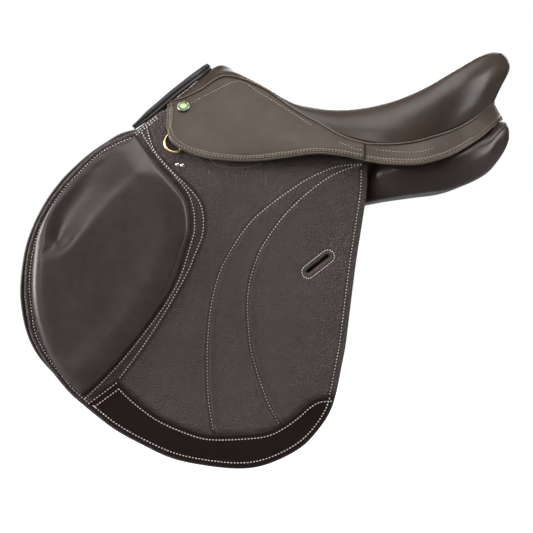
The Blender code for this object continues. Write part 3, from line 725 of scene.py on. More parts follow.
@dataclass
class Seamstress:
    """Sews rows of stitches on one piece of leather and joins them into one shape."""

    leather: Shape
    thread: Thread = field(default_factory=Thread)
    rows: Shape | None = None

    def __post_init__(self) -> None:
        """Make the search tree of the leather."""
        self.tree = BVHTree.FromPolygons(self.leather.verts.tolist(), self.leather.faces)

    def sew(self, spots: Sequence[Vector], normals: Sequence[Vector]) -> None:
        """Add a row along points of the leather, with its normals averaged between neighbours."""
        out = np.array(normals)
        out = np.concatenate([out[:1], out, out[-1:]])
        row = stitch_row(np.array(spots), (out[:-2] + out[1:-1] * 2 + out[2:]) / 4, self.thread)
        self.rows = row if self.rows is None else self.rows.joined(row)

    def across_side(self, line: Array) -> None:
        """Sew along a flat line in X and Z, on the face turned away from the mid-plane."""
        spots, normals = [], []
        for x, z in resample(line, 1.6):
            spot, normal, _, _ = self.tree.ray_cast(Vector((x, 400, z)), Vector((0, -1, 0)))
            if spot is None:
                continue
            spots.append(spot)
            normals.append(normal if normal.y > 0 else -normal)
        self.sew(spots, normals)

    def along(self, path: Array, outward: Array) -> None:
        """Sew along a path near the leather, moved onto it.

        Args:
            path: Points near the leather.
            outward: Roughly the leather's outward direction at those points.
        """
        spots, normals = [], []
        for point, out in zip(path, outward):
            spot, normal, _, _ = self.tree.find_nearest(Vector(point) + Vector(out))
            spots.append(spot)
            normals.append(normal if normal.dot(Vector(out)) > 0 else -normal)
        self.sew(spots, normals)


# ---------------------------------------------------------------------- finishes


class Grain(Enum):
    """How a leather's surface is grained."""

    SMOOTH = "smooth"
    PEBBLED = "pebbled"


@dataclass(frozen=True)
class LeatherFinish:
    """A leather: its colours, its grain and its gloss."""

    name: str
    base: Colour
    # The lighter colour for scuffed edges, also used for painted highlights on beads, ridges and the seat's welt.
    worn: Colour
    gloss: tuple[float, float]
    coat: float = 0.0
    shine: float = 0.4
    grain: Grain = Grain.SMOOTH
    cell: float = 620.0
    depth: float = 0.00010


@dataclass(frozen=True)
class MetalFinish:
    """A metal: its colour, its duller colour and its polish."""

    name: str
    base: Colour
    dull: Colour
    gloss: tuple[float, float]


@dataclass(frozen=True)
class FibreFinish:
    """A thread, web or felt: its colours and the size of its weave."""

    name: str
    base: Colour
    dark: Colour
    weave: float
    depth: float


COAT_ROUGHNESS = 0.24
FIBRE_ROUGHNESS = (0.7, 0.9)
FLAP_CALF = LeatherFinish(
    "flap_calf", (0.058, 0.042, 0.040), (0.125, 0.10, 0.095), (0.40, 0.52),
    shine=0.26, grain=Grain.PEBBLED, cell=360.0, depth=0.0011,
)
SKIRT_CALF = LeatherFinish("skirt_calf", (0.058, 0.042, 0.030), (0.17, 0.14, 0.11), (0.42, 0.54), shine=0.28)
SEAT_CALF = LeatherFinish("seat_calf", (0.046, 0.033, 0.025), (0.10, 0.085, 0.07), (0.28, 0.38), 0.05, 0.32)
PAD_CALF = LeatherFinish("pad_calf", (0.044, 0.030, 0.030), (0.09, 0.075, 0.07), (0.29, 0.40), 0.10)
PANEL_CALF = LeatherFinish("panel_calf", (0.032, 0.019, 0.016), (0.08, 0.065, 0.06), (0.28, 0.40), 0.12)
GUARD_HIDE = LeatherFinish("guard_hide", (0.0125, 0.0058, 0.0045), (0.05, 0.034, 0.028), (0.52, 0.64), shine=0.15)
LINING_CALF = LeatherFinish("lining_calf", (0.030, 0.021, 0.018), (0.09, 0.07, 0.06), (0.46, 0.58), 0.05)
ROLL_CALF = LeatherFinish("roll_calf", (0.012, 0.009, 0.008), (0.05, 0.042, 0.04), (0.36, 0.48), 0.08)
BRIDLE = LeatherFinish("bridle_leather", (0.045, 0.030, 0.023), (0.12, 0.085, 0.06), (0.36, 0.5), 0.1)
CUT_EDGE = LeatherFinish("cut_edge", (0.15, 0.085, 0.065), (0.20, 0.12, 0.09), (0.55, 0.7))
BRASS = MetalFinish("brass", (0.78, 0.58, 0.27), (0.55, 0.40, 0.19), (0.18, 0.34))
CHROME = MetalFinish("chrome", (0.62, 0.62, 0.63), (0.48, 0.48, 0.49), (0.06, 0.14))
STEEL = MetalFinish("forged_steel", (0.5, 0.5, 0.51), (0.34, 0.34, 0.35), (0.26, 0.45))
LINEN = FibreFinish("linen_thread", (0.80, 0.75, 0.69), (0.58, 0.53, 0.48), 900.0, 0.00006)
DARK_LINEN = FibreFinish("dark_thread", (0.40, 0.35, 0.28), (0.26, 0.22, 0.175), 900.0, 0.00006)
WEBBING = FibreFinish("flax_web", (0.50, 0.45, 0.36), (0.33, 0.29, 0.22), 520.0, 0.0003)
FELT = FibreFinish("seat_foam", (0.60, 0.54, 0.40), (0.45, 0.40, 0.29), 1400.0, 0.0002)


@dataclass
class Bench:
    """A node tree that is being put together."""

    tree: bpy.types.NodeTree

    def feed(self, node: bpy.types.Node, inputs: Feeds) -> None:
        """Link each input of a node to a socket, or set it to a number or a colour.

        Args:
            node: The node.
            inputs: Sockets, numbers or colours by the inputs' names or places.
        """
        for key, value in inputs.items():
            if isinstance(value, bpy.types.NodeSocket):
                self.tree.links.new(value, node.inputs[key])
            else:
                node.inputs[key].default_value = (*value, 1.0) if isinstance(value, tuple) else value

    def add(self, kind: str, inputs: Feeds | None = None, **settings: object) -> bpy.types.Node:
        """A new shader node with its inputs and settings made.

        Args:
            kind: The node's type, without its first word.
            inputs: What its inputs are fed.
            settings: Its other settings.

        Returns:
            The node.
        """
        node = self.tree.nodes.new(f"ShaderNode{kind}")
        for key, value in settings.items():
            setattr(node, key, value)
        self.feed(node, inputs or {})
        return node

    def place(self) -> bpy.types.NodeSocket:
        """The place on the saddle, in metres."""
        return self.add("TexCoord").outputs["Object"]

    def wear(self) -> bpy.types.NodeSocket:
        """The values kept on the mesh that lighten its colour: scuffing, and on some pieces a painted highlight."""
        return self.add("Attribute", attribute_name="wear").outputs["Fac"]

    def noise(self, scale: float, detail: float = 2.0) -> bpy.types.NodeSocket:
        """Noise of one scale over the saddle."""
        node = self.add("TexNoise", {"Scale": scale, "Detail": detail, "Vector": self.place()})
        return node.outputs["Fac"]

    def reckon(self, operation: str, *values: bpy.types.NodeSocket | float) -> bpy.types.NodeSocket:
        """A Math node over sockets or numbers."""
        return self.add("Math", dict(enumerate(values)), operation=operation).outputs[0]

    def spread(self, value: bpy.types.NodeSocket, old: Point, new: Point) -> bpy.types.NodeSocket:
        """A value moved from one range to another, clamped."""
        ends = dict(zip(("From Min", "From Max", "To Min", "To Max"), (*old, *new)))
        return self.add("MapRange", {"Value": value, **ends}).outputs["Result"]

    def blend(self, share: bpy.types.NodeSocket, a: object, b: object) -> bpy.types.NodeSocket:
        """A colour between two colours or colour sockets."""
        return self.add("Mix", {0: share, 6: a, 7: b}, data_type="RGBA").outputs[2]

    def bump(self, height: bpy.types.NodeSocket, depth: float) -> bpy.types.NodeSocket:
        """A normal for a height that reaches the depth, in metres."""
        return self.add("Bump", {"Strength": 1.0, "Distance": depth, "Height": height}).outputs["Normal"]


class Finishes:
    """Makes the materials, and the node groups that they share, each once."""

    def group(
        self, name: str, inputs: dict[str, float], outputs: Sequence[str]
    ) -> tuple[Bench, bpy.types.Node, bpy.types.Node]:
        """An empty node group with its sockets, which all carry numbers.

        Args:
            name: The group's name.
            inputs: Names of the inputs with their default values.
            outputs: Names of the outputs.

        Returns:
            The group's bench, its input node and its output node.
        """
        tree = bpy.data.node_groups.new(name, "ShaderNodeTree")
        for key, value in inputs.items():
            socket = tree.interface.new_socket(key, in_out="INPUT", socket_type="NodeSocketFloat")
            socket.default_value = value
        for key in outputs:
            tree.interface.new_socket(key, in_out="OUTPUT", socket_type="NodeSocketFloat")
        return Bench(tree), tree.nodes.new("NodeGroupInput"), tree.nodes.new("NodeGroupOutput")

    @cache
    def grain(self) -> bpy.types.NodeTree:
        """Leather grain: pores and pebbles as a height, a gloss, and a tone that varies at random and carries painted
        shade in the crevices between the pebbles.
        """
        inputs = {"Cell": 600.0, "Pebble": 0.0}
        bench, start, end = self.group("leather_grain", inputs, ("Height", "Tone", "Gloss"))
        cells = {"Vector": bench.place(), "Scale": start.outputs["Cell"]}
        edges = bench.add("TexVoronoi", cells, feature="DISTANCE_TO_EDGE").outputs["Distance"]
        pebble = bench.spread(edges, (0.0, 0.32), (0.0, 1.0))
        crease, pores = bench.noise(240.0, 4.0), bench.noise(1500.0)
        fine = bench.reckon("MULTIPLY_ADD", pores, 0.35, bench.reckon("MULTIPLY", crease, 0.65))
        share = bench.reckon("MULTIPLY", start.outputs["Pebble"], pebble)
        # Painted shade: the tone is darker in the crevices between the pebbles, where the height is low.
        crevice_shade = bench.reckon("MULTIPLY_ADD", share, 0.35, -0.12)
        clouds, mottle = bench.noise(14.0, 5.0), bench.noise(90.0, 3.0)
        tone = bench.reckon("MULTIPLY_ADD", clouds, 0.65, bench.reckon("MULTIPLY", mottle, 0.35))
        bench.feed(end, {
            "Height": bench.reckon("ADD", share, fine),
            "Tone": bench.reckon("ADD", bench.spread(tone, (0.32, 0.68), (0.0, 1.0)), crevice_shade),
            "Gloss": bench.spread(bench.noise(34.0, 4.0), (0.3, 0.7), (0.0, 1.0)),
        })
        return bench.tree

    @cache
    def edge_wear(self) -> bpy.types.NodeTree:
        """How much lighter the surface is painted, from the mesh's own values broken up by noise: scuffing at edges,
        and a painted highlight on the seat's welt and in part on beads and ridges.
        """
        bench, start, end = self.group("edge_wear", {"Amount": 1.0}, ("Mask",))
        broken = bench.spread(bench.noise(160.0, 4.0), (0.3, 0.7), (0.45, 1.0))
        worn = bench.reckon("MULTIPLY", bench.wear(), broken)
        bench.feed(end, {"Mask": bench.reckon("MULTIPLY", worn, start.outputs["Amount"])})
        return bench.tree

    @cache
    def weave(self) -> bpy.types.NodeTree:
        """Weave: crossing threads as a height and a tone."""
        bench, start, end = self.group("weave", {"Threads": 500.0}, ("Height", "Tone"))
        split = bench.add("SeparateXYZ", {0: bench.place()})
        waves = []
        for axis in "XZ":
            place = bench.reckon("MULTIPLY_ADD", split.outputs["Y"], 0.7, split.outputs[axis])
            phase = bench.reckon("MULTIPLY", place, start.outputs["Threads"])
            waves.append(bench.reckon("SINE", bench.reckon("MULTIPLY", phase, 2 * math.pi)))
        cross = bench.spread(bench.reckon("MULTIPLY", *waves), (-1.0, 1.0), (0.0, 1.0))
        shade = bench.reckon("MULTIPLY", cross, 0.4)
        bench.feed(end, {
            "Height": bench.reckon("MULTIPLY_ADD", bench.noise(1800.0, 3.0), 0.4, cross),
            "Tone": bench.reckon("MULTIPLY_ADD", bench.noise(60.0, 3.0), 0.6, shade),
        })
        return bench.tree

    def start(self, name: str) -> tuple[bpy.types.Material, Bench, bpy.types.Node]:
        """A new material with its bench and its shader."""
        material = bpy.data.materials.new(name)
        material.use_nodes = True
        return material, Bench(material.node_tree), material.node_tree.nodes["Principled BSDF"]

    @cache
    def leather(self, finish: LeatherFinish) -> bpy.types.Material:
        """The material of a leather."""
        material, bench, shader = self.start(finish.name)
        pebble = 1.0 if finish.grain is Grain.PEBBLED else 0.12
        grain = bench.add("Group", node_tree=self.grain())
        bench.feed(grain, {"Cell": finish.cell, "Pebble": pebble})
        worn = bench.add("Group", node_tree=self.edge_wear())
        bench.feed(worn, {"Amount": 0.75})
        # The grain's tone runs from dark to light; its dark end carries painted shade in the pebbles' crevices.
        dark = tuple(channel * 0.78 for channel in finish.base)
        light = tuple(channel * 1.2 for channel in finish.base)
        tone = bench.blend(grain.outputs["Tone"], dark, light)
        bench.feed(shader, {
            "Base Color": bench.blend(worn.outputs["Mask"], tone, finish.worn),
            "Roughness": bench.spread(grain.outputs["Gloss"], (0.0, 1.0), finish.gloss),
            "Coat Weight": finish.coat,
            "Coat Roughness": COAT_ROUGHNESS,
            "Specular IOR Level": finish.shine,
            "Normal": bench.bump(grain.outputs["Height"], finish.depth),
        })
        return material

    @cache
    def metal(self, finish: MetalFinish) -> bpy.types.Material:
        """The material of a metal."""
        material, bench, shader = self.start(finish.name)
        worn = bench.add("Group", node_tree=self.edge_wear())
        stain = bench.spread(bench.noise(210.0, 4.0), (0.35, 0.7), (0.0, 1.0))
        tone = bench.blend(stain, finish.base, finish.dull)
        bench.feed(shader, {
            "Base Color": bench.blend(worn.outputs["Mask"], tone, finish.base),
            "Roughness": bench.spread(stain, (0.0, 1.0), finish.gloss),
            "Metallic": 1.0,
            "Normal": bench.bump(bench.noise(900.0), 0.00003),
        })
        return material

    @cache
    def fibre(self, finish: FibreFinish) -> bpy.types.Material:
        """The material of a thread, web or felt."""
        material, bench, shader = self.start(finish.name)
        weave = bench.add("Group", node_tree=self.weave())
        bench.feed(weave, {"Threads": finish.weave})
        bench.feed(shader, {
            "Base Color": bench.blend(weave.outputs["Tone"], finish.dark, finish.base),
            "Roughness": bench.spread(weave.outputs["Tone"], (0.0, 1.0), FIBRE_ROUGHNESS),
            "Sheen Weight": 0.3,
            "Normal": bench.bump(weave.outputs["Height"], finish.depth),
        })
        return material

    @cache
    def enamel(self) -> bpy.types.Material:
        """Glossy green enamel that pales from the rim to the middle, by the mesh's wear values."""
        material, bench, shader = self.start("badge_enamel")
        cloud = bench.spread(bench.noise(420.0, 3.0), (0.3, 0.7), (-0.12, 0.12))
        share = bench.spread(bench.reckon("ADD", bench.wear(), cloud), (0.3, 0.75), (0.0, 1.0))
        bench.feed(shader, {
            "Base Color": bench.blend(share, (0.05, 0.13, 0.03), (0.40, 0.52, 0.24)),
            "Roughness": bench.spread(cloud, (-0.12, 0.12), (0.08, 0.2)),
            "Coat Weight": 0.6,
        })
        return material

    @cache
    def wood(self) -> bpy.types.Material:
        """Sealed laminated beech."""
        material, bench, shader = self.start("laminated_beech")
        grain = {"Vector": bench.place(), "Scale": 90.0, "Distortion": 3.0}
        rings = bench.add("TexWave", grain, wave_type="BANDS", bands_direction="Z").outputs["Fac"]
        bench.feed(shader, {
            "Base Color": bench.blend(rings, (0.42, 0.27, 0.14), (0.58, 0.40, 0.23)),
            "Roughness": bench.spread(rings, (0.0, 1.0), (0.42, 0.58)),
            "Normal": bench.bump(rings, 0.0002),
        })
        return material


# ---------------------------------------------------------------------- side leathers

FLAP_RUN = [
    (134, 40), (132, 7), (126, -33), (118, -83), (110, -145), (104, -191), (99, -217), (91, -256),
    (83, -279), (70, -299), (50, -321), (24, -337), (-8, -349), (-41, -352), (-87, -347), (-126, -338),
    (-165, -320), (-198, -302), (-225, -282), (-242, -268), (-258, -254), (-276, -233), (-295, -207),
    (-310, -178), (-316, -145), (-319, -112), (-316, -73), (-306, -37), (-290, -5), (-271, 21), (-254, 40),
    (-234, 60), (-215, 74), (-195, 84), (-178, 91),
]
FLAP_TOP = [
    (-178, 91), (-148, 115), (-139, 121), (-112, 119), (-100, 104), (-87, 67), (-80, 57.5), (-73, 50.5),
    (4, 50.5), (6, 62), (100, 62), (134, 58), (134, 40),
]
BAND_FRONT = [
    (-173, 94), (-149, 57), (-126, 31), (-107, 7), (-100, -16), (-99, -40), (-103, -56), (-114, -92),
    (-126, -119), (-148, -153), (-186, -202), (-218, -237), (-241, -259),
]
BAND_REAR = [
    (-159, 105), (-147, 69), (-126, 43), (-103, 20), (-88, 2), (-81, -19), (-82, -48), (-93, -76),
    (-100, -94), (-126, -141), (-158, -192), (-191, -237),
]
CHANNEL_FRONT = [
    (133, 48), (97, 45), (74, 37), (50, 25), (26, 9), (2, -9), (-22, -31), (-46, -65), (-63, -100),
    (-73, -141), (-77, -181), (-78, -216), (-76, -263), (-69, -305),
]
CHANNEL_REAR = [
    (133, 48), (112, 43), (88, 33), (68, 20), (44, 0), (20, -25), (2, -50), (-10, -71), (-21, -103),
    (-25, -134), (-24, -166), (-20, -199), (-10, -234), (3, -269), (18, -297),
]
GUARD_TOP = [
    (-196, -237), (-171, -260), (-138, -284), (-96, -302), (-69, -307.5), (-22, -306), (2, -302),
    (20, -293), (37, -281), (53, -267), (68, -259), (88, -256),
]
PAD_REAR = [
    (-176, 86), (-151, 54), (-130, 30), (-110, 5), (-103, -17), (-102, -40), (-106, -57), (-117, -93),
    (-129, -121), (-151, -155), (-189, -204), (-220, -238), (-242, -257),
]
PAD_FRONT = [
    (-242, -257), (-272, -226), (-293, -189), (-306, -145), (-309, -100), (-303, -50), (-287, -12),
    (-264, 17), (-243, 40), (-226, 56), (-208, 67), (-192, 76), (-176, 86),
]
GUARD_LOW = [
    (89, -258), (81, -279), (68, -299), (49, -319), (23, -335), (-8, -346.5), (-41, -349.5), (-87, -344.5),
    (-125, -335.5), (-164, -318), (-196, -300), (-223, -280), (-238, -267),
]
SWEAT_RUN = [
    (128, 60), (127, 30), (122, 0), (112, -40), (100, -100), (92, -170), (84, -225), (72, -262), (50, -290),
    (10, -313), (-40, -324), (-100, -319), (-150, -306), (-195, -287), (-235, -264), (-262, -247),
    (-282, -228), (-302, -205), (-316, -178), (-324, -145), (-326, -112), (-321, -69), (-311, -36),
    (-294, -2), (-274, 26), (-255, 46), (-235, 64), (-215, 78), (-196, 90), (-176, 96),
]
SWEAT_TOP = [(-176, 96), (-150, 86), (-110, 82), (-60, 64), (60, 62), (128, 60)]
BLOCK_RUN = [
    (-232, -10), (-205, 18), (-170, 20), (-150, 0), (-140, -40), (-150, -90), (-170, -130), (-195, -150),
    (-215, -140), (-232, -100), (-240, -55), (-232, -10),
]
LINING_RUN = [(-80, 58), (-70, 47), (-56, 42.4), (-42, 41.2), (-24, 41.8), (-7, 47), (3, 56)]


def flap_fold(side: Side, high: float = 52.0, low: float = 28.0) -> dict[str, Point]:
    y = side.value * float(side_y((high + low) / 2))
    return {"start": (0, y * MM, high * MM), "end": (0, y * MM, low * MM)}


def strap_fold(side: Side) -> dict[str, Point]:
    return flap_fold(side, 45.0, 33.0)


@dataclass
class Maker:
    """What every sub-assembly shares."""

    finishes: Finishes

    def report(self, piece: bpy.types.Object) -> None:
        """Log a piece and the size of its mesh."""
        log.info("%s: %d faces", piece.name, len(piece.data.polygons))

    def fit(
        self,
        piece: bpy.types.Object,
        slot: str = "",
        stands_for: Sequence[str] = (),
        body: str = "root",
        fold: dict[str, Point] | None = None,
        fill: float = 0.0,
    ) -> None:
        """Tie a piece to the frame and log it.

        Args:
            piece: The piece.
            slot: The material slot that it takes its finish from; stitching has none.
            stands_for: The frame pieces that it replaces.
            body: The body that it moves with.
            fold: Where it bends between the root and its body; without one it follows its body whole.
            fill: How tight a padded piece is; 0 for a piece that isn't padded.
        """
        if fold:
            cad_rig.blend(piece, "root", body, **fold)
        else:
            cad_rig.ride(piece, body)
        if stands_for:
            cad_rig.replaces(piece, *stands_for)
        if slot:
            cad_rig.slot(piece, slot)
        if fill:
            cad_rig.padded(piece, fill=fill)
        self.report(piece)

    def pair(
        self,
        shape: Shape,
        name: str,
        material: bpy.types.Material,
        slot: str = "",
        stands_for: Sequence[str] = (),
        moves: str = "",
        fold: Callable[[Side], dict[str, Point]] | None = None,
        fill: float = 0.0,
    ) -> None:
        """Make a piece for each side and fit both.

        Args:
            shape: The piece for the off side.
            name: Its name without its side.
            material: Its finish.
            slot: The material slot that it takes its finish from; stitching has none.
            stands_for: The frame pieces that it replaces, without their side.
            moves: The body that it moves with, without its side; by default the root.
            fold: Where it bends on each side, if it does.
            fill: How tight a padded piece is; 0 for a piece that isn't padded.
        """
        for side in Side:
            nodes = [f"{node}_{side.label}" for node in stands_for]
            body = f"{side.label}_{moves}" if moves else "root"
            piece = shape.place(f"{name}_{side.label}", [material], side)
            self.fit(piece, slot, nodes, body, fold(side) if fold else None, fill)


@dataclass
class Flap(Maker):
    """The main flap: one skin from its sewn top edge to its lower edge, with a welt band and two channels."""

    thick: float = 5.0
    swell: float = 2.3
    slot_centre: tuple[float, float] = (68.0, -85.0)
    screws: tuple[float, float] = (-114.0, 46.0)
    slot_length: float = 40.0
    slot_width: float = 7.0
    slot_tilt: float = 38.0

    def __post_init__(self) -> None:
        """Lay out the pattern's lines."""
        self.outline = outline_of([(True, FLAP_RUN), (False, FLAP_TOP)], 3.0)
        self.rear_edge = curve(FLAP_RUN[:9], 3.0)
        self.front_edge = curve(FLAP_RUN[18:], 3.0)
        self.band_front = curve(BAND_FRONT, 3.0)
        self.band_rear = curve(BAND_REAR, 3.0)
        self.channels = [curve(CHANNEL_FRONT, 3.0), curve(CHANNEL_REAR, 3.0)]
        self.guard_top = curve(GUARD_TOP, 3.0)
        self.slot = self.stadium(self.slot_length, self.slot_width, 1.5)
        self.strip = np.concatenate([self.band_front, self.band_rear[::-1]])
        below = [(140, -256), (140, -400), (-300, -400), (-244, -268)]
        self.under_guard = np.concatenate([self.guard_top, below])

    def stadium(self, length: float, width: float, step: float) -> Array:
        """A loop with round ends about the slot's centre."""
        half = (length - width) / 2
        turn = np.radians(np.arange(-90, 91, 15))
        end = np.stack([half + np.cos(turn) * width / 2, np.sin(turn) * width / 2], 1)
        tilt = math.radians(self.slot_tilt)
        lean = np.array([[math.cos(tilt), math.sin(tilt)], [-math.sin(tilt), math.cos(tilt)]])
        points = np.concatenate([end, -end]) @ lean + np.array(self.slot_centre)
        return resample(closed(points), step)[:-1]

    def relief(self, spots: Array) -> Array:
        """Height of the skin over the flap's plain face."""
        edge = distance_to(spots, closed(self.outline))[0]
        rear = distance_to(spots, self.rear_edge)[0]
        front_gap = distance_to(spots, self.band_front)[0]
        rear_gap = distance_to(spots, self.band_rear)[0]
        guard = distance_to(spots, self.guard_top)[0]
        slot = distance_to(spots, closed(self.slot))[0]
        in_band = inside(spots, self.strip)
        low = fade(-spots[:, 1], -45, 70)
        height = self.swell * domed(rear_gap, 4.5) * (0.45 + 0.55 * domed(guard, 9.0))
        height += 0.5 * bell(rear_gap - 3.4, 1.8)
        for line in self.channels:
            gap, along = distance_to(spots, line)
            strength = 0.3 + 0.7 * fade(along, 0.3, 0.62)
            height += strength * 1.15 * bell(gap - 4.2, 2.0) - (0.55 + 0.75 * strength) * bell(gap, 1.9)
        height += (0.35 + 0.75 * low) * bell(rear - 12.2, 2.2) - 1.1 * bell(rear - 8.2, 1.9)
        height -= 0.9 * (1 - domed(rear, 7.0))
        height -= self.pucker(spots)
        height *= self.on_panel(spots)
        height += bell(slot - 2.2, 1.5) * 0.6 - bell(slot - 5.0, 1.2) * 0.9 + bell(slot - 7.6, 1.5) * 0.35
        strip = 1.2 * domed(np.minimum(front_gap, rear_gap), 2.0)
        strip -= 0.55 * bell(front_gap - 3.8, 1.2) + 0.55 * bell(rear_gap - 3.0, 1.2)
        height = np.where(in_band, strip, height)
        bead = distance_to(spots, self.front_edge)[0]
        height += 0.7 * bell(bead - 2.6, 1.5) - 1.2 * bell(bead - 6.6, 2.0)
        height = np.where(inside(spots, self.under_guard), np.minimum(height, -0.2), height)
        return height - rounded(edge, 1.8) - rounded(slot, 1.0)

    def pucker(self, spots: Array) -> Array:
        """The dent round the two screws, with creases running back from it."""
        offset = spots - np.array(self.screws)
        reach = np.linalg.norm(offset, axis=1)
        turn = np.arctan2(offset[:, 1], offset[:, 0])
        creases = 0.28 * np.cos(9 * turn + 0.5) * bell(reach - 17, 9.0) * fade(offset[:, 0], -2, 12)
        return 1.9 * bell(reach, 9.5) + creases

    def on_panel(self, spots: Array) -> Array:
        """1 behind the welt band, where the flap is softly padded, and 0 in front of it."""
        rear = np.concatenate([self.band_rear, [(-200, -400), (300, -400), (300, 200), (-150, 200)]])
        return inside(spots, rear).astype(float)

    def guides(self) -> list[Array]:
        """The lines that need points of their own."""
        lines = []
        for gap in (3, 6, 9):
            lines.append(offset_line(resample(self.guard_top, 3.5), gap))
        for reach in (2, 5, 8, 11, 14, 18, 22, 26):
            turns = circle(int(reach * 2.4))
            lines.append(np.array(self.screws) + np.stack([np.cos(turns), np.sin(turns)], 1) * reach)
        for line in (self.band_front, self.band_rear, *self.channels):
            fine = resample(line, 2.6)
            lines += [offset_line(fine, gap) for gap in (0, 1.3, -1.3, 2.8, -2.8, 4.6, -4.6, 7, -7)]
        for gap in (1.3, 2.6, 4.0, 5.3, 6.6, 7.9, 9.2):
            lines.append(offset_line(resample(self.front_edge, 3.0), -gap))
        for gap in (6.5, 8.2, 10, 13, 16):
            lines.append(offset_line(resample(self.rear_edge, 3.0), -gap))
            lines.append(offset_line(resample(self.rear_edge, 3.0), gap))
        for gap in (1.2, 2.6, 3.9, 5.2, 6.6):
            lines.append(self.stadium(self.slot_length + 2 * gap, self.slot_width + 2 * gap, 2.0))
        return lines

    def rows(self, sewing: Seamstress) -> None:
        """Sew every row of the flap."""
        sewing.across_side(offset_line(self.front_edge, -6.6))
        top = resample(np.array(FLAP_TOP[:2], float), 2.0)
        sewing.across_side(offset_line(top, -3.0))
        sewing.across_side(offset_line(top, -6.0))
        sewing.across_side(offset_line(self.band_front, 3.8)[2:])
        sewing.across_side(offset_line(self.band_rear, -3.0)[2:])
        for line in self.channels:
            sewing.across_side(line[2:-1])
        sewing.across_side(offset_line(self.rear_edge, -8.2)[: int(len(self.rear_edge) * 0.94)])
        ring = self.stadium(self.slot_length + 10, self.slot_width + 10, 1.5)
        sewing.thread = Thread(3.3, 2.8, 0.95)
        sewing.across_side(closed(ring))

    def build(self) -> None:
        """Make both flaps with their stitching."""
        pattern = Pattern(self.outline, [self.slot], self.guides(), 5.0)

        def wear(spots: Array) -> Array:
            """Lighter the higher the relief stands: partly scuffing along the ridges, partly a painted highlight on
            them.
            """
            return np.clip((self.relief(spots) - 1.9) * 0.35, 0, 0.6)

        skin = pattern.solid(self.relief, -self.thick, wear)
        sewing = Seamstress(skin)
        self.rows(sewing)
        hide, linen = self.finishes.leather(FLAP_CALF), self.finishes.fibre(LINEN)
        self.pair(skin, "flap_skin", hide, "flap_leather", ("flap", "flap_head"), "flap", flap_fold)
        self.pair(sewing.rows, "flap_stitching", linen, moves="flap", fold=flap_fold)
        self.build_lip()

    def build_lip(self) -> None:
        """The cut edge of the keeper leather that shows inside the slot."""
        outer = self.stadium(self.slot_length + 2, self.slot_width + 2, 1.5)
        hole = self.stadium(self.slot_length - 3.0, self.slot_width - 2.6, 1.5) + np.array([-0.5, 0.8])
        pattern = Pattern(outer, [hole], [], 3.0)
        lip = pattern.solid(lambda spots: np.full(len(spots), -0.9), -self.thick - 0.6)
        self.pair(lip, "slot_keeper", self.finishes.leather(CUT_EDGE), "flap_leather", moves="flap")


@dataclass
class KneePad(Maker):
    """The padded knee roll in front of the welt band."""

    height: float = 10.5
    crest: tuple[tuple[float, float], tuple[float, float]] = ((-150.0, 52.0), (-258.0, -62.0))
    hollow: float = 8.5

    def __post_init__(self) -> None:
        """Lay out the pad's edges."""
        self.outline = outline_of([(True, PAD_REAR), (True, PAD_FRONT)], 3.0)
        self.front = curve(PAD_FRONT, 3.0)
        self.rear = curve(PAD_REAR, 3.0)

    def relief(self, spots: Array) -> Array:
        """Height of the pad over the flap: a plateau, a hollow in front of it and a roll at the edge."""
        z = spots[:, 1]
        front = distance_to(spots, self.front)[0]
        rear = distance_to(spots, self.rear)[0]
        full = self.height * (0.30 + 0.70 * fade(z, 92, 30))
        start, stop = (np.array(p) for p in self.crest)
        run = (stop - start) / np.linalg.norm(stop - start)
        aside = (spots - start) @ np.array([run[1], -run[0]])
        width = np.interp(z, [-60, -20, 27], [17, 38, 46])
        depth = fade(aside / width, 0.0, 1.0) - 0.6 * fade(aside / width, 1.0, 1.5)
        depth *= fade(z, -80, -50) * fade(z, 80, 40)
        body = full - self.hollow * depth
        body += 1.6 * bell(rear - 24, 22)
        body *= domed(front, 15.0) * domed(rear, 7.0)
        return np.maximum(body, 0.0) + 0.4

    def build(self) -> None:
        """Make both pads."""
        guides = []
        for line in (self.front, self.rear):
            for gap in (0.8, 2, 3.5, 5.2, 7.2, 9.5, 12, 15):
                guides += [offset_line(resample(line, 3.2), gap), offset_line(resample(line, 3.2), -gap)]
        pattern = Pattern(self.outline, [], guides, 5.5)
        skin = pattern.solid(lambda spots: 0.4 + self.relief(spots), 0.3)
        calf = self.finishes.leather(PAD_CALF)
        self.pair(skin, "knee_pad_skin", calf, "pad_leather", ("knee_pad",), "flap", flap_fold, 0.8)


@dataclass
class BootGuard(Maker):
    """The crescent of plain hide sewn along the flap's lower edge."""

    thick: float = 1.8

    def build(self) -> None:
        """Make both guards with their stitching."""
        top = [(-196, -236), *GUARD_TOP[1:-1], (89, -257)]
        ends = [[GUARD_LOW[-1], top[0]], [top[-1], GUARD_LOW[0]]]
        outline = outline_of([(True, top), (False, ends[1]), (True, GUARD_LOW), (False, ends[0])], 3.0)
        pattern = Pattern(outline, [], [], 6.0)
        upper, lower = curve(top, 3.0), curve(GUARD_LOW, 3.0)

        def front(spots: Array) -> Array:
            """The guard's outer face, pressed down along its rows."""
            edge = pattern.edge_distance(spots)
            rows = bell(distance_to(spots, upper)[0] - 7.2, 1.6)
            rows += bell(distance_to(spots, lower)[0] - 5.0, 1.6)
            return 0.3 + self.thick - rounded(edge, 1.3) - 0.35 * rows

        skin = pattern.solid(front, 0.3)
        sewing = Seamstress(skin)
        sewing.across_side(offset_line(upper, -7.2)[3:-1])
        sewing.across_side(offset_line(lower, -5.0)[1:-3])
        start, stop = np.array(ends[0][0], float), np.array(ends[0][1], float)
        across = resample(np.array([start, stop]), 2.0)
        sewing.across_side(offset_line(across, -3.5)[1:-1])
        sewing.across_side(offset_line(across, -11.5)[3:-2])
        hide, linen = self.finishes.leather(GUARD_HIDE), self.finishes.fibre(LINEN)
        self.pair(skin, "boot_guard_hide", hide, "guard_leather", ("boot_guard",), "flap")
        self.pair(sewing.rows, "boot_guard_stitching", linen, moves="flap")


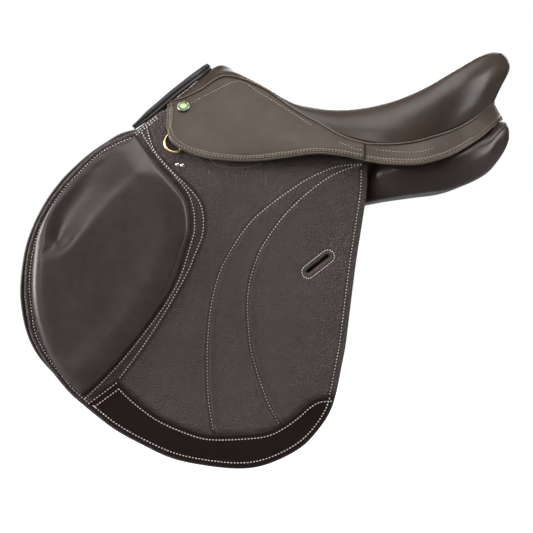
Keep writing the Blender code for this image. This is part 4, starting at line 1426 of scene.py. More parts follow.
@dataclass
class UnderFlap(Maker):
    """The sweat flap against the horse, its knee block, and the lining below the stirrup bar."""

    outer: float = 19.0
    inner: float = 23.0

    def build(self) -> None:
        """Make the under flap's pieces on both sides."""
        self.build_sweat_flaps()
        self.build_blocks()
        self.build_linings()

    def build_sweat_flaps(self) -> None:
        """The sweat flaps, with a rolled edge and its row of stitches."""
        outline = outline_of([(True, SWEAT_RUN), (False, SWEAT_TOP)], 3.5)
        run = curve(SWEAT_RUN, 3.5)
        guides = [offset_line(run, -gap) for gap in (3.4, 4.6, 6.0, 8.0)]
        pattern = Pattern(outline, [], guides, 8.0)

        def front(spots: Array) -> Array:
            """The outer face, with the roll along its edge."""
            gap = distance_to(spots, run)[0]
            roll = 1.6 * bell(gap - 1.8, 1.7) - 0.5 * bell(gap - 4.8, 1.0)
            return roll - self.outer - rounded(pattern.edge_distance(spots), 1.6)

        skin = pattern.solid(front, -self.inner)
        sewing = Seamstress(skin)
        sewing.across_side(offset_line(run, -6.5))
        calf, linen = self.finishes.leather(LINING_CALF), self.finishes.fibre(DARK_LINEN)
        self.pair(skin, "sweat_flap_skin", calf, "lining_leather", ("sweat_flap",))
        self.pair(sewing.rows, "sweat_flap_stitching", linen)

    def build_blocks(self) -> None:
        """The knee blocks on the sweat flaps."""
        outline = outline_of([(True, BLOCK_RUN)], 3.0)
        pattern = Pattern(outline, [], [], 5.0)

        def front(spots: Array) -> Array:
            """The block's crowned outer face."""
            gap = pattern.edge_distance(spots)
            crown = 12.0 * (1 - (1 - np.clip(gap / 24, 0, 1)) ** 2.2)
            return crown + 0.8 - self.outer

        block = pattern.solid(front, 0.3 - self.outer)
        calf = self.finishes.leather(LINING_CALF)
        self.pair(block, "knee_block_skin", calf, "lining_leather", ("knee_block",), fill=0.85)

    def build_linings(self) -> None:
        """The half-moon linings that show below the skirts."""
        outline = outline_of([(True, LINING_RUN), (False, [LINING_RUN[-1], LINING_RUN[0]])], 2.0)
        pattern = Pattern(outline, [], [], 4.0)
        skin = pattern.solid(lambda spots: 1.9 - rounded(pattern.edge_distance(spots), 1.1), 0.3)
        sewing = Seamstress(skin, FINE_THREAD)
        sewing.across_side(offset_line(curve(LINING_RUN, 2.0), 1.6))
        calf, linen = self.finishes.leather(FLAP_CALF), self.finishes.fibre(DARK_LINEN)
        self.pair(skin, "bar_lining_skin", calf, "lining_leather", ("bar_lining",))
        self.pair(sewing.rows, "bar_lining_stitching", linen)


# ---------------------------------------------------------------------- seat and skirts

SEAT_NET = [
    [
        (-73.5, 0, 181), (-77.5, 20, 176), (-88.5, 35, 167),
        (-105, 47, 152.5), (-121, 57, 139.5), (-132, 66, 133),
    ],
    [(-68, 0, 186.5), (-71, 19, 183), (-79, 34, 173.5), (-92, 46, 161), (-104, 56, 149), (-116, 66, 136)],
    [(-58, 0, 188), (-61, 16, 185.5), (-68, 30, 178), (-76, 42, 168.5), (-83, 52, 158), (-90, 60, 149)],
    [(-42, 0, 181.5), (-44, 14, 181), (-47, 26, 179), (-50, 36, 176.5), (-53, 43, 173), (-55, 48, 170)],
    [(-10, 0, 162), (-10, 18, 162), (-10, 32, 161), (-9, 42, 159.5), (-8, 49, 157), (-6, 54, 154)],
    [(36, 0, 130), (36, 26, 132), (36, 48, 134), (38, 62, 131), (40, 71, 127), (41, 77, 122)],
    [(95, 0, 117), (94, 36, 120), (93, 68, 123), (92, 88, 115), (91, 99, 103), (91, 104, 91)],
    [(152, 0, 119), (152, 44, 123), (151, 86, 129), (150, 108, 118), (150, 122, 96), (150, 127, 74)],
    [(205, 0, 131), (203, 48, 137), (200, 92, 146), (200, 116, 128), (199, 126, 100), (199, 129, 78)],
    [(240, 0, 145), (240, 48, 155), (243, 88, 170), (246, 110, 150), (244, 118, 115), (240, 117, 91)],
    [(252, 0, 150), (272, 36, 175), (281, 60, 193), (291, 82, 168), (284, 90, 133), (276, 90, 109)],
    [(258, 0, 153), (289, 22, 188), (306, 33, 203.5), (320, 44, 182), (308, 52, 148), (297, 54, 125)],
    [(262, 0, 155), (293, 0, 188), (318, 0, 206), (333, 0, 185), (319, 0, 155), (310, 0, 135)],
]
SKIRT_ROWS = [
    ((-133, 70, 130), -133, (-133.5, 102, 97.5)),
    ((-122, 67, 134.5), -127, (-128.5, 115, 83.5)),
    ((-110, 65.5, 138), -116, (-116.5, 119.5, 71.5)),
    ((-90, 61.5, 148), -96, (-100, 120.5, 62.5)),
    ((-55, 49.5, 168), -66, (-70, 124, 54.5)),
    ((-6, 55.5, 152.5), -20, (-22, 125, 51.5)),
    ((36, 77, 122.5), 25, (24, 126, 56)),
    ((72, 95.5, 101), 65, (64, 128, 61.5)),
    ((100, 110, 84.5), 100, (98, 130.5, 58.5)),
    ((129, 123.3, 74.4), 129, (129, 133, 51.8)),
]
RIM_ROWS = [
    ((129.4, 123.3, 74.4), (129.4, 133, 51.8)), ((150, 128.5, 72.5), (150, 137.5, 48.2)),
    ((175, 131, 73), (172, 145, 46.8)), ((199, 131, 76.5), (200, 148.5, 47)),
    ((222, 127, 83), (225, 143, 52.5)), ((242, 119.5, 89.5), (246, 133, 60)),
    ((261, 107.5, 98.5), (266, 119, 71)), ((276.5, 91, 108), (286, 99, 84)),
    ((288.5, 72.5, 117), (302, 77, 97)), ((301, 46, 127.5), (315, 48, 106.5)),
    ((308.5, 20, 133), (321, 21, 111)), ((310.5, 0, 134.5), (322.5, 0, 112)),
]
SKIRT_FOLD_FRONT = np.array([-131, 87, 113.5])
SKIRT_FOLD_REAR = np.array([128, 129, 66])


def net_grid(net: Array, rows: Array, columns: Array) -> Array:
    """Points of a smooth surface through a net that has ghost knots all round.

    Args:
        net: The net, with one ghost row and column on every side.
        rows: Places along the first axis, in knots from the first real one.
        columns: Places along the second axis.

    Returns:
        The grid of points.
    """
    along = spline_weights(net.shape[0] - 2, rows)
    across = spline_weights(net.shape[1] - 2, columns)
    return np.einsum("am,mnc,bn->abc", along, net, across)


def padded_net(net: Array) -> Array:
    """A net with ghost knots all round."""
    tall = with_ghosts(net)
    return np.stack([with_ghosts(row) for row in tall])


def even_steps(count: int, per_span: int) -> Array:
    """Places along an axis of so many knots, with so many steps to a span."""
    return np.linspace(0, count - 1, (count - 1) * per_span + 1)


EVERY_AXIS = ("use_axis_x", "use_axis_y", "use_axis_z")


@dataclass
class Seat(Maker):
    """The deep seat: one padded skin from the pommel to the cantle, and the welts sewn round it."""

    thick: float = 2.4
    smoothing: int = 8
    padding: float = 9.0

    def half_grid(self) -> Array:
        """The off half of the seat's skin, meeting its mirror image smoothly on the mid-plane."""
        net = np.array(SEAT_NET, float)
        flip = np.array([1, -1, 1])
        tall = np.concatenate([[2 * net[0] - net[1]], net, [net[-2] * flip]])
        wide = np.concatenate([tall[:, 1:2] * flip, tall, (2 * tall[:, -1] - tall[:, -2])[:, None]], 1)
        return net_grid(wide, even_steps(13, 8), even_steps(6, 8))

    def skin(self) -> bpy.types.Object:
        """Both halves as one welded and eased sheet."""
        half = self.half_grid()
        rows, columns = half.shape[:2]
        half[:, 0, 1] = 0
        half[-1, :, 1] = 0
        shape = Shape(half.reshape(-1, 3), grid_faces(rows, columns))
        other = Shape(shape.verts * (1, -1, 1), [face[::-1] for face in shape.faces])
        obj = shape.joined(other).place("seat_skin", [self.finishes.leather(SEAT_CALF)])
        bm = bmesh.new()
        bm.from_mesh(obj.data)
        bmesh.ops.remove_doubles(bm, verts=bm.verts, dist=0.02 * MM)
        bmesh.ops.dissolve_degenerate(bm, edges=bm.edges, dist=0.01 * MM)
        for _ in range(self.smoothing):
            free = [v for v in bm.verts if not v.is_boundary]
            bmesh.ops.smooth_vert(bm, verts=free, factor=0.5, **dict.fromkeys(EVERY_AXIS, True))
        bmesh.ops.recalc_face_normals(bm, faces=bm.faces)
        top = max(bm.faces, key=lambda f: f.calc_center_median().z)
        if top.normal.z < 0:
            bmesh.ops.reverse_faces(bm, faces=bm.faces)
        bm.normal_update()
        bm.to_mesh(obj.data)
        bm.free()
        obj.data.shade_smooth()
        return obj

    def thicken(self, obj: bpy.types.Object, thick: float, sink: float) -> None:
        """Give a sheet its thickness inwards, as real mesh.

        Args:
            obj: The sheet.
            thick: Its thickness.
            sink: How far its outer face is set in first.
        """
        sunk = np.array([v.co - v.normal * sink * MM for v in obj.data.vertices])
        obj.data.vertices.foreach_set("co", sunk.ravel())
        modifier = obj.modifiers.new("thickness", "SOLIDIFY")
        modifier.thickness = thick * MM
        modifier.offset = -1
        modifier.use_even_offset = False
        graph = bpy.context.evaluated_depsgraph_get()
        solid = bpy.data.meshes.new_from_object(obj.evaluated_get(graph))
        obj.modifiers.clear()
        obj.data = solid

    def build(self) -> None:
        """Make the seat and its welts."""
        obj = self.skin()
        tree = BVHTree.FromObject(obj, bpy.context.evaluated_depsgraph_get())
        self.build_padding(obj)
        self.thicken(obj, self.thick, 0.0)
        self.fit(obj, "seat_leather", ("seat_cover",), fill=0.8)
        self.build_welts(tree)

    def build_padding(self, skin: bpy.types.Object) -> None:
        """The foam under the skin, following its shape."""
        foam = bpy.data.objects.new("seat_padding", skin.data.copy())
        bpy.context.scene.collection.objects.link(foam)
        self.trim(foam.data, 3)
        foam.data.materials.clear()
        foam.data.materials.append(self.finishes.fibre(FELT))
        self.thicken(foam, self.padding, self.thick + 0.3)
        self.fit(foam, "foam", ("seat_foam",))

    def trim(self, mesh: bpy.types.Mesh, rings: int) -> None:
        """Cut rings of faces off a sheet's open edge."""
        bm = bmesh.new()
        bm.from_mesh(mesh)
        for _ in range(rings):
            outer = [f for f in bm.faces if any(v.is_boundary for v in f.verts)]
            bmesh.ops.delete(bm, geom=outer, context="FACES")
        bm.to_mesh(mesh)
        bm.free()

    def build_welts(self, tree: BVHTree) -> None:
        """The welt along the seam to the skirts and the rim, and the cantle's two seams."""
        seam = [row[0] for row in SKIRT_ROWS[1:-1]] + [row[0] for row in RIM_ROWS]
        half = curve(seam, 3.0)
        path = np.concatenate([half, (half * (1, -1, 1))[::-1][1:]])
        cord = tube(path + np.array([0, 0, 1.2]), 1.3, 10, (0, 0.2, 1))
        # The whole welt is painted lighter: a painted highlight along the seam's ridge.
        cord.wear = np.full(len(cord.verts), 0.8)
        welt = cord.place("seat_welt", [self.finishes.leather(SKIRT_CALF)])
        self.fit(welt, "seat_leather")
        line = curve([(299, 25, 203), (327, 28, 184), (315, 32, 152), (304, 33, 128)], 2.5)
        spots = []
        for point in line[6:]:
            spot, normal, _, _ = tree.find_nearest(Vector(point) * MM)
            spots.append(np.array(spot) / MM + np.array(normal) * 0.2)
        cord = tube(resample(np.array(spots), 3.0), 1.1, 8)
        self.pair(cord, "cantle_welt", self.finishes.leather(SEAT_CALF), "seat_leather")


@dataclass
class Beaded(Maker):
    """A sheet with a raised bead along its free edge and a row of stitches on each side of the bead."""

    thick: float = 3.5
    bead: float = 5.4
    bead_rows: tuple[float, float] = (2.9, 8.0)

    def sheet(self, grid: Array, edge: Array, bead_rub_and_highlight: float) -> tuple[Shape, Array]:
        """The sheet's mesh.

        Args:
            grid: Its plain outer face.
            edge: Its free edge.
            bead_rub_and_highlight: How much lighter the bead is painted, partly for scuffing and partly as a painted
                highlight.

        Returns:
            The mesh, and the unit normals of the plain face.
        """
        normals = outward_normals(grid)
        gap = distance_to(grid.reshape(-1, 3), edge)[0].reshape(grid.shape[:2])
        height = 0.9 * bell(gap - self.bead, 1.5) - rounded(gap, 1.4)
        for row in self.bead_rows:
            height -= 0.35 * bell(gap - row, 1.0)
        # Lighter at the cut edge for scuffing, and along the bead partly scuffing, partly a painted highlight.
        wear = np.maximum(bell(gap, 1.4), bead_rub_and_highlight * bell(gap - self.bead, 1.3))
        return grid_solid(grid + normals * height[..., None], grid - normals * self.thick, wear), normals


@dataclass
class Skirt(Beaded):
    """The small flap over the stirrup bar: one skin from the seat's seam to its beaded lower edge."""

    row_steps: int = 16
    column_steps: int = 9

    def __post_init__(self) -> None:
        """Lay out the skirt's net and its surface."""
        rows = []
        for seam, fold_x, low in SKIRT_ROWS:
            share = (fold_x - SKIRT_FOLD_FRONT[0]) / (SKIRT_FOLD_REAR[0] - SKIRT_FOLD_FRONT[0])
            fold = SKIRT_FOLD_FRONT + (SKIRT_FOLD_REAR - SKIRT_FOLD_FRONT) * share
            seam, low = np.array(seam, float), np.array(low, float)
            upper = (seam + fold) / 2 + np.array([0, 1.5, 0])
            lower = (fold + low) / 2 + np.array([0, 1.0, 0])
            rows.append([seam, upper, fold, lower, low])
        self.net = padded_net(np.array(rows))

    def surface(self) -> Array:
        """The skirt's plain outer face as a grid, with its columns crowded towards the lower edge."""
        rows = even_steps(10, self.row_steps)
        rows = np.unique(np.concatenate([rows, [0.01, 0.03, 0.06]]))
        columns = even_steps(5, self.column_steps)
        columns = np.unique(np.concatenate([columns, 4 - np.array([0.02, 0.05, 0.09, 0.16, 0.28, 0.38])]))
        return net_grid(self.net, rows, columns)

    def edge_line(self, grid: Array) -> Array:
        """A grid's values along the free edge, from the seam at the front, down and along to the rear."""
        return np.concatenate([grid[0, :-1], grid[:, -1]])

    def build(self) -> None:
        """Make both skirts and their stitching."""
        grid = self.surface()
        edge = self.edge_line(grid)
        skin, normals = self.sheet(grid, edge, 0.55)
        sewing = Seamstress(skin, FINE_THREAD)
        out = self.edge_line(normals)
        inward = units(np.cross(out, np.gradient(edge, axis=0)))
        if inward[len(inward) // 2, 2] < 0:
            inward = -inward
        for depth in self.bead_rows:
            path = resample(edge + inward * depth, 2.0)
            at, known = np.linspace(0, 1, len(path)), np.linspace(0, 1, len(edge))
            facing = np.stack([np.interp(at, known, column) for column in out.T], 1)
            sewing.along(path[4:-2], facing[4:-2] * 2)
        self.sew_crest(sewing)
        calf, linen = self.finishes.leather(SKIRT_CALF), self.finishes.fibre(DARK_LINEN)
        self.pair(skin, "skirt_skin", calf, "skirt_leather", ("skirt", "skirt_head"), "skirt", self.fold)
        self.pair(sewing.rows, "skirt_stitching", linen, moves="skirt", fold=self.fold)

    def sew_crest(self, sewing: Seamstress) -> None:
        """The curved row from the badge over the pommel and down beside the seam."""
        crest = [(-102, 130), (-82, 141), (-65, 150), (-48, 159), (-38, 161.5), (-28, 159), (-12, 147)]
        sewing.across_side(curve([*crest, (12, 132), (60, 100)], 2.0))
        sewing.across_side(curve([(95, 77), (118, 67), (127, 66)], 2.0))

    def fold(self, side: Side) -> dict[str, Point]:
        axis = units(SKIRT_FOLD_REAR - SKIRT_FOLD_FRONT)
        down = np.array([0, 0.57, -0.82])
        down = units(down - axis * (down @ axis))
        middle = (SKIRT_FOLD_FRONT + SKIRT_FOLD_REAR) / 2
        ends = {}
        for key, reach in (("start", -12.0), ("end", 12.0)):
            spot = (middle + down * reach) * MM * (1, side.value, 1)
            ends[key] = tuple(float(v) for v in spot)
        return ends


@dataclass
class RearRim(Beaded):
    """The strip below the seat that runs round the cantle from skirt to skirt."""

    def build(self) -> None:
        """Make the rim and its stitching."""
        half = [[seam, tuple((a + b) / 2 for a, b in zip(seam, low)), low] for seam, low in RIM_ROWS]
        other = [[(x, -y, z) for x, y, z in row] for row in reversed(half[:-1])]
        net = padded_net(np.array(half + other, float))
        crowded = 2 - np.array([0.02, 0.06, 0.1, 0.16, 0.32, 0.44])
        columns = np.unique(np.concatenate([even_steps(3, 8), crowded]))
        grid = net_grid(net, even_steps(net.shape[0] - 2, 7), columns)
        edge = grid[:, -1]
        skin, normals = self.sheet(grid, edge, 0.5)
        sewing = Seamstress(skin, FINE_THREAD)
        upward = units(grid[:, 0] - edge)
        count = len(edge)
        reach = int(count * 0.3)
        near, far = self.bead_rows
        for depth, first, last in ((near, 1, reach), (far, 1, reach), (18.5, 5, int(reach * 0.62))):
            for part in (slice(first, last), slice(count - last, count - first)):
                path = resample((edge + upward * depth)[part], 2.0)
                out = normals[:, -1][part]
                spread = np.linspace(0, len(out) - 1, len(path)).round().astype(int)
                sewing.along(path, out[spread] * 2)
        rim = skin.place("rear_rim_skin", [self.finishes.leather(SKIRT_CALF)])
        self.fit(rim, "skirt_leather", ("rear_rim",))
        self.fit(sewing.rows.place("rear_rim_stitching", [self.finishes.fibre(DARK_LINEN)]))


FACING_PATH = [
    (-77, 0, 183), (-79, 14, 181.5), (-84, 25, 177), (-93, 37, 169.5), (-107, 48, 157.7),
    (-125, 58.5, 142.6), (-142, 67.5, 127), (-159, 77.5, 112), (-176, 86, 98),
]


@dataclass
class PommelFacing(Maker):
    """The double roll round the front of the pommel."""

    def build(self) -> None:
        """Make the two rolls."""
        half = curve(FACING_PATH, 1.6)
        path = np.concatenate([(half * (1, -1, 1))[::-1], half[1:]])
        size = 0.55 + 0.45 * fade(-np.abs(path[:, 1]), -87, -74)
        rolls = tube(path + np.array([-2.4, 0, 2.8]) * size[:, None], 3.5 * size, 24)
        second = tube(path + np.array([0.8, 0, -1.8]) * size[:, None], 3.0 * size, 24)
        piece = rolls.joined(second).place("facing_rolls", [self.finishes.leather(ROLL_CALF)])
        self.fit(piece, "flap_leather", ("pommel_facing",))


PANEL_SECTIONS = [
    (-170, (44, 86), (66, 50), 14, 7), (-155, (31, 96), (78, -8), 21, 10.5),
    (-130, (30, 94), (82, -22), 23, 11.5), (-100, (30, 82), (86, -28), 25, 12.5),
    (-60, (33, 62), (91, -26), 27, 13.5), (-10, (36, 42), (93, -16), 29, 14.5),
    (50, (37, 32), (95, 0), 31, 15.5), (100, (38, 30), (96, 2), 32, 16), (126, (38, 32), (97, 3), 32, 17),
    (142, (38, 35), (108, 8), 35, 32), (170, (38, 40), (120, 15), 38, 42),
    (205, (38, 47), (124, 21), 41, 42), (240, (38, 57), (123, 27), 46, 37),
    (270, (36, 70), (112, 37), 48, 33), (295, (33, 82), (95, 50), 46, 28),
    (311, (31, 91), (78, 66), 40, 26), (321, (33, 95), (68, 79), 30, 19), (326, (38, 94), (60, 86), 12, 9),
]
GULLET_ROWS = [
    (-140, 112), (-100, 99), (-60, 81), (-10, 64), (50, 52), (100, 50), (150, 55), (200, 68), (240, 84),
    (275, 100), (303, 107),
]


@dataclass
class Panel(Maker):
    """The flocked panels that rest on the horse, and the lining of the channel between them."""

    points: int = 48

    def section(self, x: float, inner: Point, outer: Point, thick: float, upper: float) -> Array:
        """One rounded section in the plane of x.

        Args:
            x: Where it lies.
            inner: Y and Z of its end beside the channel.
            outer: Y and Z of its outer end.
            thick: Twice its depth towards the horse.
            upper: Its depth towards the seat.

        Returns:
            The section's loop.
        """
        a, b = np.array([x, *inner], float), np.array([x, *outer], float)
        along = (b - a) / 2
        across = units(np.array([0, -along[2], along[1]]))
        angle = circle(self.points)
        wide, deep = blunt(np.cos(angle), 0.7), blunt(np.sin(angle), 0.62)
        size = np.where(deep > 0, upper, thick / 2) * deep
        return (a + b) / 2 + along * wide[:, None] + across * size[:, None]

    def build(self) -> None:
        """Make the panels and the lining."""
        knots = np.array([(x, *inner, *outer, *rest) for x, inner, outer, *rest in PANEL_SECTIONS], float)
        smooth = spline_weights(len(knots), even_steps(len(knots), 6)) @ with_ghosts(knots)
        loops = np.stack([self.section(k[0], k[1:3], k[3:5], k[5], k[6]) for k in smooth])
        calf = self.finishes.leather(PANEL_CALF)
        self.pair(loop_solid(loops), "panel_skin", calf, "panel_leather", ("panel",), fill=0.85)
        half = 28.0
        net = [[(x, half * s, z + 3 - 6 * s * s) for s in (1, 0.5, 0, -0.5, -1)] for x, z in GULLET_ROWS]
        grid = net_grid(padded_net(np.array(net, float)), even_steps(len(net), 6), even_steps(5, 4))
        lining = grid_solid(grid, grid - np.array([0, 0, 2.0]))
        piece = lining.place("gullet_lining_skin", [self.finishes.leather(LINING_CALF)])
        self.fit(piece, "lining_leather", ("gullet_lining",))


# ---------------------------------------------------------------------- straps, metal, tree


SEAT_WEB = [
    (-62, 0, 138), (-10, 0, 114), (36, 0, 98), (95, 0, 91), (152, 0, 92), (205, 0, 106), (250, 0, 124),
    (281, 0, 140),
]
WEB_ENDS = [(96, 62), (104, 48)]
GIRTH_WEBS = [
    ("girth_web_front", 7, 30, [(0, 122), (45, 122), (68, 120.5), (79, 108), (86, 92), (90, 76), *WEB_ENDS]),
    ("girth_web_rear", 64, 48, [(0, 101.5), (45, 103), (68, 105.8), (80, 100), (87, 87), (90, 75), *WEB_ENDS]),
]


@dataclass
class GirthStraps(Maker):
    """Three punched girth straps a side, the guard that slides on them, and the webs that hold them."""

    width: float = 25.0
    pitch: float = 33.0
    first_x: float = 7.5
    top: float = 46.0
    tip: float = -262.0
    holes: int = 8
    hole_pitch: float = 25.0
    hole_radius: float = 2.6
    row_reach: float = 8.5
    outer: float = 10.5
    inner: float = 14.5
    guard_points: int = 48

    def build(self) -> None:
        """Make the straps, guards and webs."""
        for index, label in enumerate(("front", "middle", "rear")):
            self.build_strap(label, self.first_x + index * self.pitch)
        self.build_guard()
        self.build_webs()

    def build_strap(self, label: str, x: float) -> None:
        """One strap on both sides."""
        half = self.width / 2
        tip = [(x + a, self.tip + b) for a, b in ((-half, 15), (-5.5, 1.5), (0, 0), (5.5, 1.5), (half, 15))]
        corners = [(x + half, self.top), (x - half, self.top)]
        outline = outline_of([(False, [*corners, tip[0]]), (True, tip), (False, [tip[-1], corners[0]])], 3.5)
        turns = circle(12)
        ring = np.stack([np.cos(turns), np.sin(turns)], 1) * self.hole_radius
        holes = [ring + np.array([x, self.tip + 32 + k * self.hole_pitch]) for k in range(self.holes)]
        pattern = Pattern(outline, holes, [], 7.0)

        def front(spots: Array) -> Array:
            """The strap's outer face, rounded along its edges and holes."""
            return -self.outer - rounded(pattern.edge_distance(spots), 0.9)

        skin = pattern.solid(front, -self.inner)
        sewing = Seamstress(skin)
        left, right, high, low = x - self.row_reach, x + self.row_reach, 43.0, 4.0
        for row in ([(left, high), (left, low)], [(right, high), (right, low)], [(left, low), (right, low)]):
            sewing.across_side(np.array(row))
        bridle, linen = self.finishes.leather(BRIDLE), self.finishes.fibre(LINEN)
        strap = f"girth_strap_{label}"
        tie = {"moves": "girth_straps", "fold": strap_fold}
        self.pair(skin, f"girth_strap_hide_{label}", bridle, "strap_leather", (strap,), **tie)
        self.pair(sewing.rows, f"girth_strap_stitching_{label}", linen, **tie)

    def build_guard(self) -> None:
        """The leather sleeve that covers the girth's buckles."""
        levels = np.linspace(-200, -140, 9)
        angle = circle(self.guard_points)
        wide, thin = blunt(np.cos(angle), 0.18), blunt(np.sin(angle), 0.5)
        loops = []
        for depth, order in ((0.0, 1), (2.0, -1)):
            for z in levels[::order]:
                flare = 0.6 * bell(abs(z + 170) - 29, 3.0)
                half, deep = 50.5 - depth + flare, 4.6 - depth + flare
                loops.append(np.stack([40.5 + half * wide, side_y(z) - 12.5 + deep * thin, 0 * angle + z], 1))
        sleeve = Shape(np.concatenate(loops), grid_faces(len(loops), len(angle), wrap=True, ring=True))
        calf = self.finishes.leather(LINING_CALF)
        self.pair(sleeve, "buckle_guard_sleeve", calf, "lining_leather", ("buckle_guard",), "buckle_guard")

    def build_webs(self) -> None:
        """Woven webs over the tree, down to the straps."""
        self.build_web("seat_web", band(curve(SEAT_WEB, 5.0), (0, 1, 0), 36, 2))
        for name, middle, width, knots in GIRTH_WEBS:
            half = [(middle, y, z) for y, z in knots]
            path = curve([(x, -y, z) for x, y, z in reversed(half[1:])] + half, 5.0)
            self.build_web(name, band(path, (1, 0, 0), width, 1.6))

    def build_web(self, name: str, shape: Shape) -> None:
        """One web in its woven finish."""
        self.fit(shape.place(f"{name}_woven", [self.finishes.fibre(WEBBING)]), "webbing", (name,))


@dataclass
class Metalwork(Maker):
    """Dees, screws, badges, stirrup bars and their catches."""

    turned_sides: int = 40

    def build(self) -> None:
        """Make or dress every metal piece."""
        self.build_dees()
        for side in Side:
            self.build_badge(side)
            for name in ("flap_screw_front", "flap_screw_rear"):
                self.build_screw(f"{name}_{side.label}")
            for name in ("stirrup_bar", "stirrup_catch", "catch_pin"):
                self.dress(f"{name}_{side.label}", self.finishes.metal(STEEL), 0.6)
            self.dress(f"dee_chape_{side.label}", self.finishes.metal(BRASS), 0.25)

    def dress(self, node: str, material: bpy.types.Material, bevel: float) -> None:
        """Give a frame piece its finish and soften its corners.

        Args:
            node: The piece.
            material: Its finish.
            bevel: Width of its rounded corners.
        """
        obj = frame["nodes"][node]
        obj.data.materials.clear()
        obj.data.materials.append(material)
        rounding = obj.modifiers.new("corners", "BEVEL")
        rounding.width = bevel * MM
        rounding.segments = 2
        rounding.limit_method = "ANGLE"
        rounding.angle_limit = math.radians(28)
        obj.data.shade_smooth()
        self.report(obj)

    def build_dees(self) -> None:
        """The brass dees: a straight bar and a bow, in round wire."""
        top, low = np.array([-124.0, 91.0]), np.array([-113.5, 66.0])
        middle, half = (top + low) / 2, (top - low) / 2
        forward = units(np.array([-half[1], half[0]]))
        bow = np.linspace(0, math.pi, 25)[:-1, None]
        bow = middle + half * np.cos(bow) + forward * 17.0 * np.sin(bow) ** 0.85
        standing = 3.4
        lines = (bow, np.array([low, top]))
        ring, bar = (np.stack([line[:, 0], side_y(line[:, 1]) + standing, line[:, 1]], 1) for line in lines)
        ring = np.concatenate([bar[0] + (bar[1] - bar[0]) * np.arange(6)[:, None] / 6, ring])
        tangent = units(np.roll(ring, -1, axis=0) - np.roll(ring, 1, axis=0))
        out, aside = frames_across(tangent, (0.1, 1.0, 0.35))
        sides = 12
        loops = ring[:, None] + 1.9 * rings_round(out, aside, sides)
        shape = Shape(loops.reshape(-1, 3), grid_faces(len(ring), sides, wrap=True, ring=True))
        self.pair(shape, "dee_wire", self.finishes.metal(BRASS), "brass", ("dee_ring",), "dee")

    def turned(self, centre: Vector, axis: Vector, profile: Sequence[Point], squeeze: float = 1.0) -> Shape:
        """A turned piece about an axis, in millimetres.

        Args:
            centre: Its foot on the axis.
            axis: Its outward direction.
            profile: Rings as (distance along the axis, radius).
            squeeze: Its height as a share of its width, for an oval.

        Returns:
            The piece.
        """
        across = Vector((1, 0, 0)) - axis * axis.x
        across.normalize()
        up = axis.cross(across)
        hubs = np.array([centre + axis * along for along, _ in profile])
        ring = rings_round(np.array([across]), np.array([up * squeeze]), self.turned_sides)
        return loop_solid(hubs[:, None] + ring * np.array([radius for _, radius in profile])[:, None, None])

    def foot(self, node: str) -> tuple[Vector, Vector]:
        """The foot and outward axis of a small frame piece, for the off side in millimetres."""
        mesh = frame["nodes"][node].data
        spots = np.array([v.co for v in mesh.vertices]) / MM
        spots[:, 1] = np.abs(spots[:, 1])
        middle = spots.mean(0)
        _, _, axes = np.linalg.svd(spots - middle)
        axis = Vector(axes[2])
        if axis.y < 0:
            axis = -axis
        low = ((spots - middle) @ np.array(axis)).min()
        return Vector(middle) + axis * float(low), axis

    def build_screw(self, node: str) -> None:
        """A domed chrome screw with a slotless polished head."""
        centre, axis = self.foot(node)
        centre = centre + axis * -0.8 + Vector((1.6 if "front" in node else -0.4, 0, 0))
        profile = [(0, 3.3), (0.9, 3.3), (1.5, 3.1), (2.2, 2.5), (2.7, 1.7), (3.0, 0.8), (3.05, 0.2)]
        side = Side.LEFT if node.endswith("left") else Side.RIGHT
        piece = self.turned(centre, axis, profile).place(f"{node}_dome", [self.finishes.metal(CHROME)], side)
        self.fit(piece, "chrome", (node,))

    def build_badge(self, side: Side) -> None:
        """A plain oval of enamel in a chrome bezel."""
        node = f"badge_{side.label}"
        centre, axis = self.foot(node)
        bezel = [(0, 8.5), (1.6, 8.5), (2.2, 8.25), (2.35, 7.9), (2.1, 7.6), (1.2, 7.5)]
        dome = [(1.2, 7.55), (2.0, 7.3), (2.6, 6.2), (3.0, 4.6), (3.2, 2.4), (3.3, 0.2)]
        ring = self.turned(centre, axis, bezel, 0.97)
        cap = self.turned(centre, axis, dome, 0.97)
        cap.wear = np.repeat([0.0, 0.0, 0.2, 0.62, 1.0, 1.0], self.turned_sides)
        ring.wear = np.zeros(len(ring.verts))
        cap.slots = [1] * len(cap.faces)
        finish = [self.finishes.metal(CHROME), self.finishes.enamel()]
        self.fit(ring.joined(cap).place(f"badge_oval_{side.label}", finish, side), "enamel", (node,))


@dataclass
class Tree(Metalwork):
    """The wooden tree with its steel plate and springs."""

    def build(self) -> None:
        """Dress the tree's pieces."""
        self.dress("tree_head", self.finishes.leather(LINING_CALF), 1.5)
        for node in ("tree_cantle", "tree_rail_left", "tree_rail_right"):
            self.dress(node, self.finishes.wood(), 1.5)
        for node in ("gullet_plate", "spring_left", "spring_right"):
            self.dress(node, self.finishes.metal(STEEL), 0.4)


# ---------------------------------------------------------------------- studio


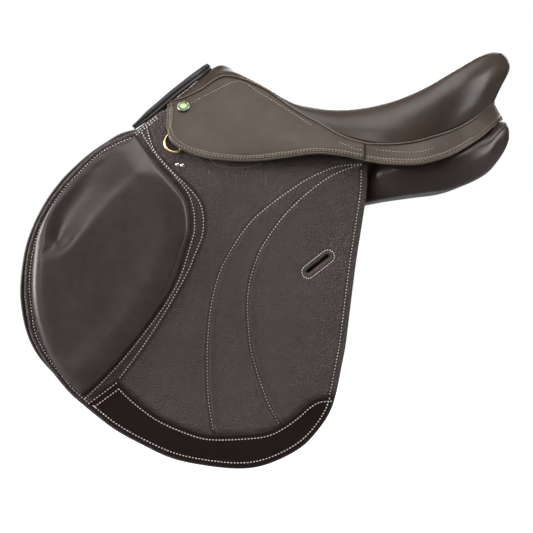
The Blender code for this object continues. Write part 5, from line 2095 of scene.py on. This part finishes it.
@dataclass
class Studio:
    """Pale floor, soft lights and the camera."""

    lens: float = 198.0
    distance: float = 4.0
    aim_z: float = -0.088
    floor_z: float = -0.3525
    floor_glow: float = 1.0
    room_light: float = 0.12
    boxes: tuple[tuple[str, Point, Point, tuple[float, float], float], ...] = (
        ("key_box", (0.15, -0.52, 0.82), (0, -0.1, 0), (1.1, 0.45), 6.4),
        ("top_box", (0.1, -0.2, 1.9), (0, 0, 0), (2.2, 0.7), 13.0),
        ("left_box", (-2.2, -0.35, 0.6), (0, 0, -0.05), (1.2, 1.6), 85.0),
        ("strip_box", (-1.15, -2.2, 1.0), (-0.1, -0.1, 0), (0.4, 0.8), 9.0),
        ("right_box", (2.3, -0.4, 0.8), (0.1, 0, 0.05), (0.9, 1.8), 34.0),
        ("rear_box", (0.2, 2.3, 1.0), (0, 0, -0.05), (1.8, 1.2), 42.0),
    )

    def build(self) -> None:
        """Set up the studio."""
        self.build_floor()
        self.build_lights()
        self.build_camera()

    def build_floor(self) -> None:
        """A wide pale floor that glows a little, as paper lit from behind does."""
        bm = bmesh.new()
        bmesh.ops.create_circle(bm, cap_ends=True, segments=64, radius=40.0)
        mesh = bpy.data.meshes.new("studio_floor")
        bm.to_mesh(mesh)
        bm.free()
        floor = bpy.data.objects.new("studio_floor", mesh)
        floor.location.z = self.floor_z
        bpy.context.scene.collection.objects.link(floor)
        material, bench, shader = Finishes().start("floor_paper")
        seen = bench.add("LightPath").outputs["Is Camera Ray"]
        bench.feed(shader, {
            "Base Color": (0.3, 0.3, 0.3),
            "Roughness": 0.9,
            "Emission Color": (1.0, 1.0, 1.0),
            "Emission Strength": bench.spread(seen, (0.0, 1.0), (0.0, self.floor_glow)),
        })
        mesh.materials.append(material)
        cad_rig.stage(floor)

    def build_lights(self) -> None:
        """A pale room with soft boxes above and on both sides."""
        bpy.context.scene.view_settings.view_transform = "Standard"
        world = bpy.data.worlds.new("studio_room")
        world.use_nodes = True
        bench = Bench(world.node_tree)
        seen = bench.add("LightPath").outputs["Is Camera Ray"]
        strength = bench.spread(seen, (0.0, 1.0), (self.room_light, 1.0))
        bench.feed(world.node_tree.nodes["Background"], {"Color": (1.0, 1.0, 1.0), "Strength": strength})
        bpy.context.scene.world = world
        for name, place, aim, size, power in self.boxes:
            light = bpy.data.lights.new(name, "AREA")
            light.shape = "RECTANGLE"
            light.size, light.size_y = size
            light.energy = power
            lamp = bpy.data.objects.new(name, light)
            lamp.location = place
            lamp.rotation_euler = (Vector(aim) - Vector(place)).to_track_quat("-Z", "Y").to_euler()
            bpy.context.scene.collection.objects.link(lamp)

    def build_camera(self) -> None:
        """A long lens square to the near side."""
        camera = bpy.data.cameras.new("side_camera")
        camera.lens = self.lens
        camera.sensor_width = 36.0
        camera.clip_end = 200.0
        rig = bpy.data.objects.new("side_camera", camera)
        rig.location = (0, -self.distance, self.aim_z)
        rig.rotation_euler = (math.pi / 2, 0, 0)
        bpy.context.scene.collection.objects.link(rig)
        bpy.context.scene.camera = rig


def write_sizes() -> None:
    """Keep the frame's box and the dressed saddle's box for comparison."""
    boxes = {"cad": [list(corner) for corner in CAD_BOX], "visual": [list(corner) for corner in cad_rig.bounds()]}
    with open(SIZE_FILE, "w") as target:
        json.dump(boxes, target, indent=1)


def main() -> None:
    """Dress the saddle and set up the studio."""
    logging.basicConfig(level=logging.INFO, format="%(message)s")
    finishes = Finishes()
    side_makers = (Flap, KneePad, BootGuard, UnderFlap)
    for maker in (*side_makers, Seat, Skirt, RearRim, PommelFacing, Panel, GirthStraps, Metalwork, Tree):
        maker(finishes).build()
    Studio().build()
    write_sizes()


if __name__ == "__main__":
    main()
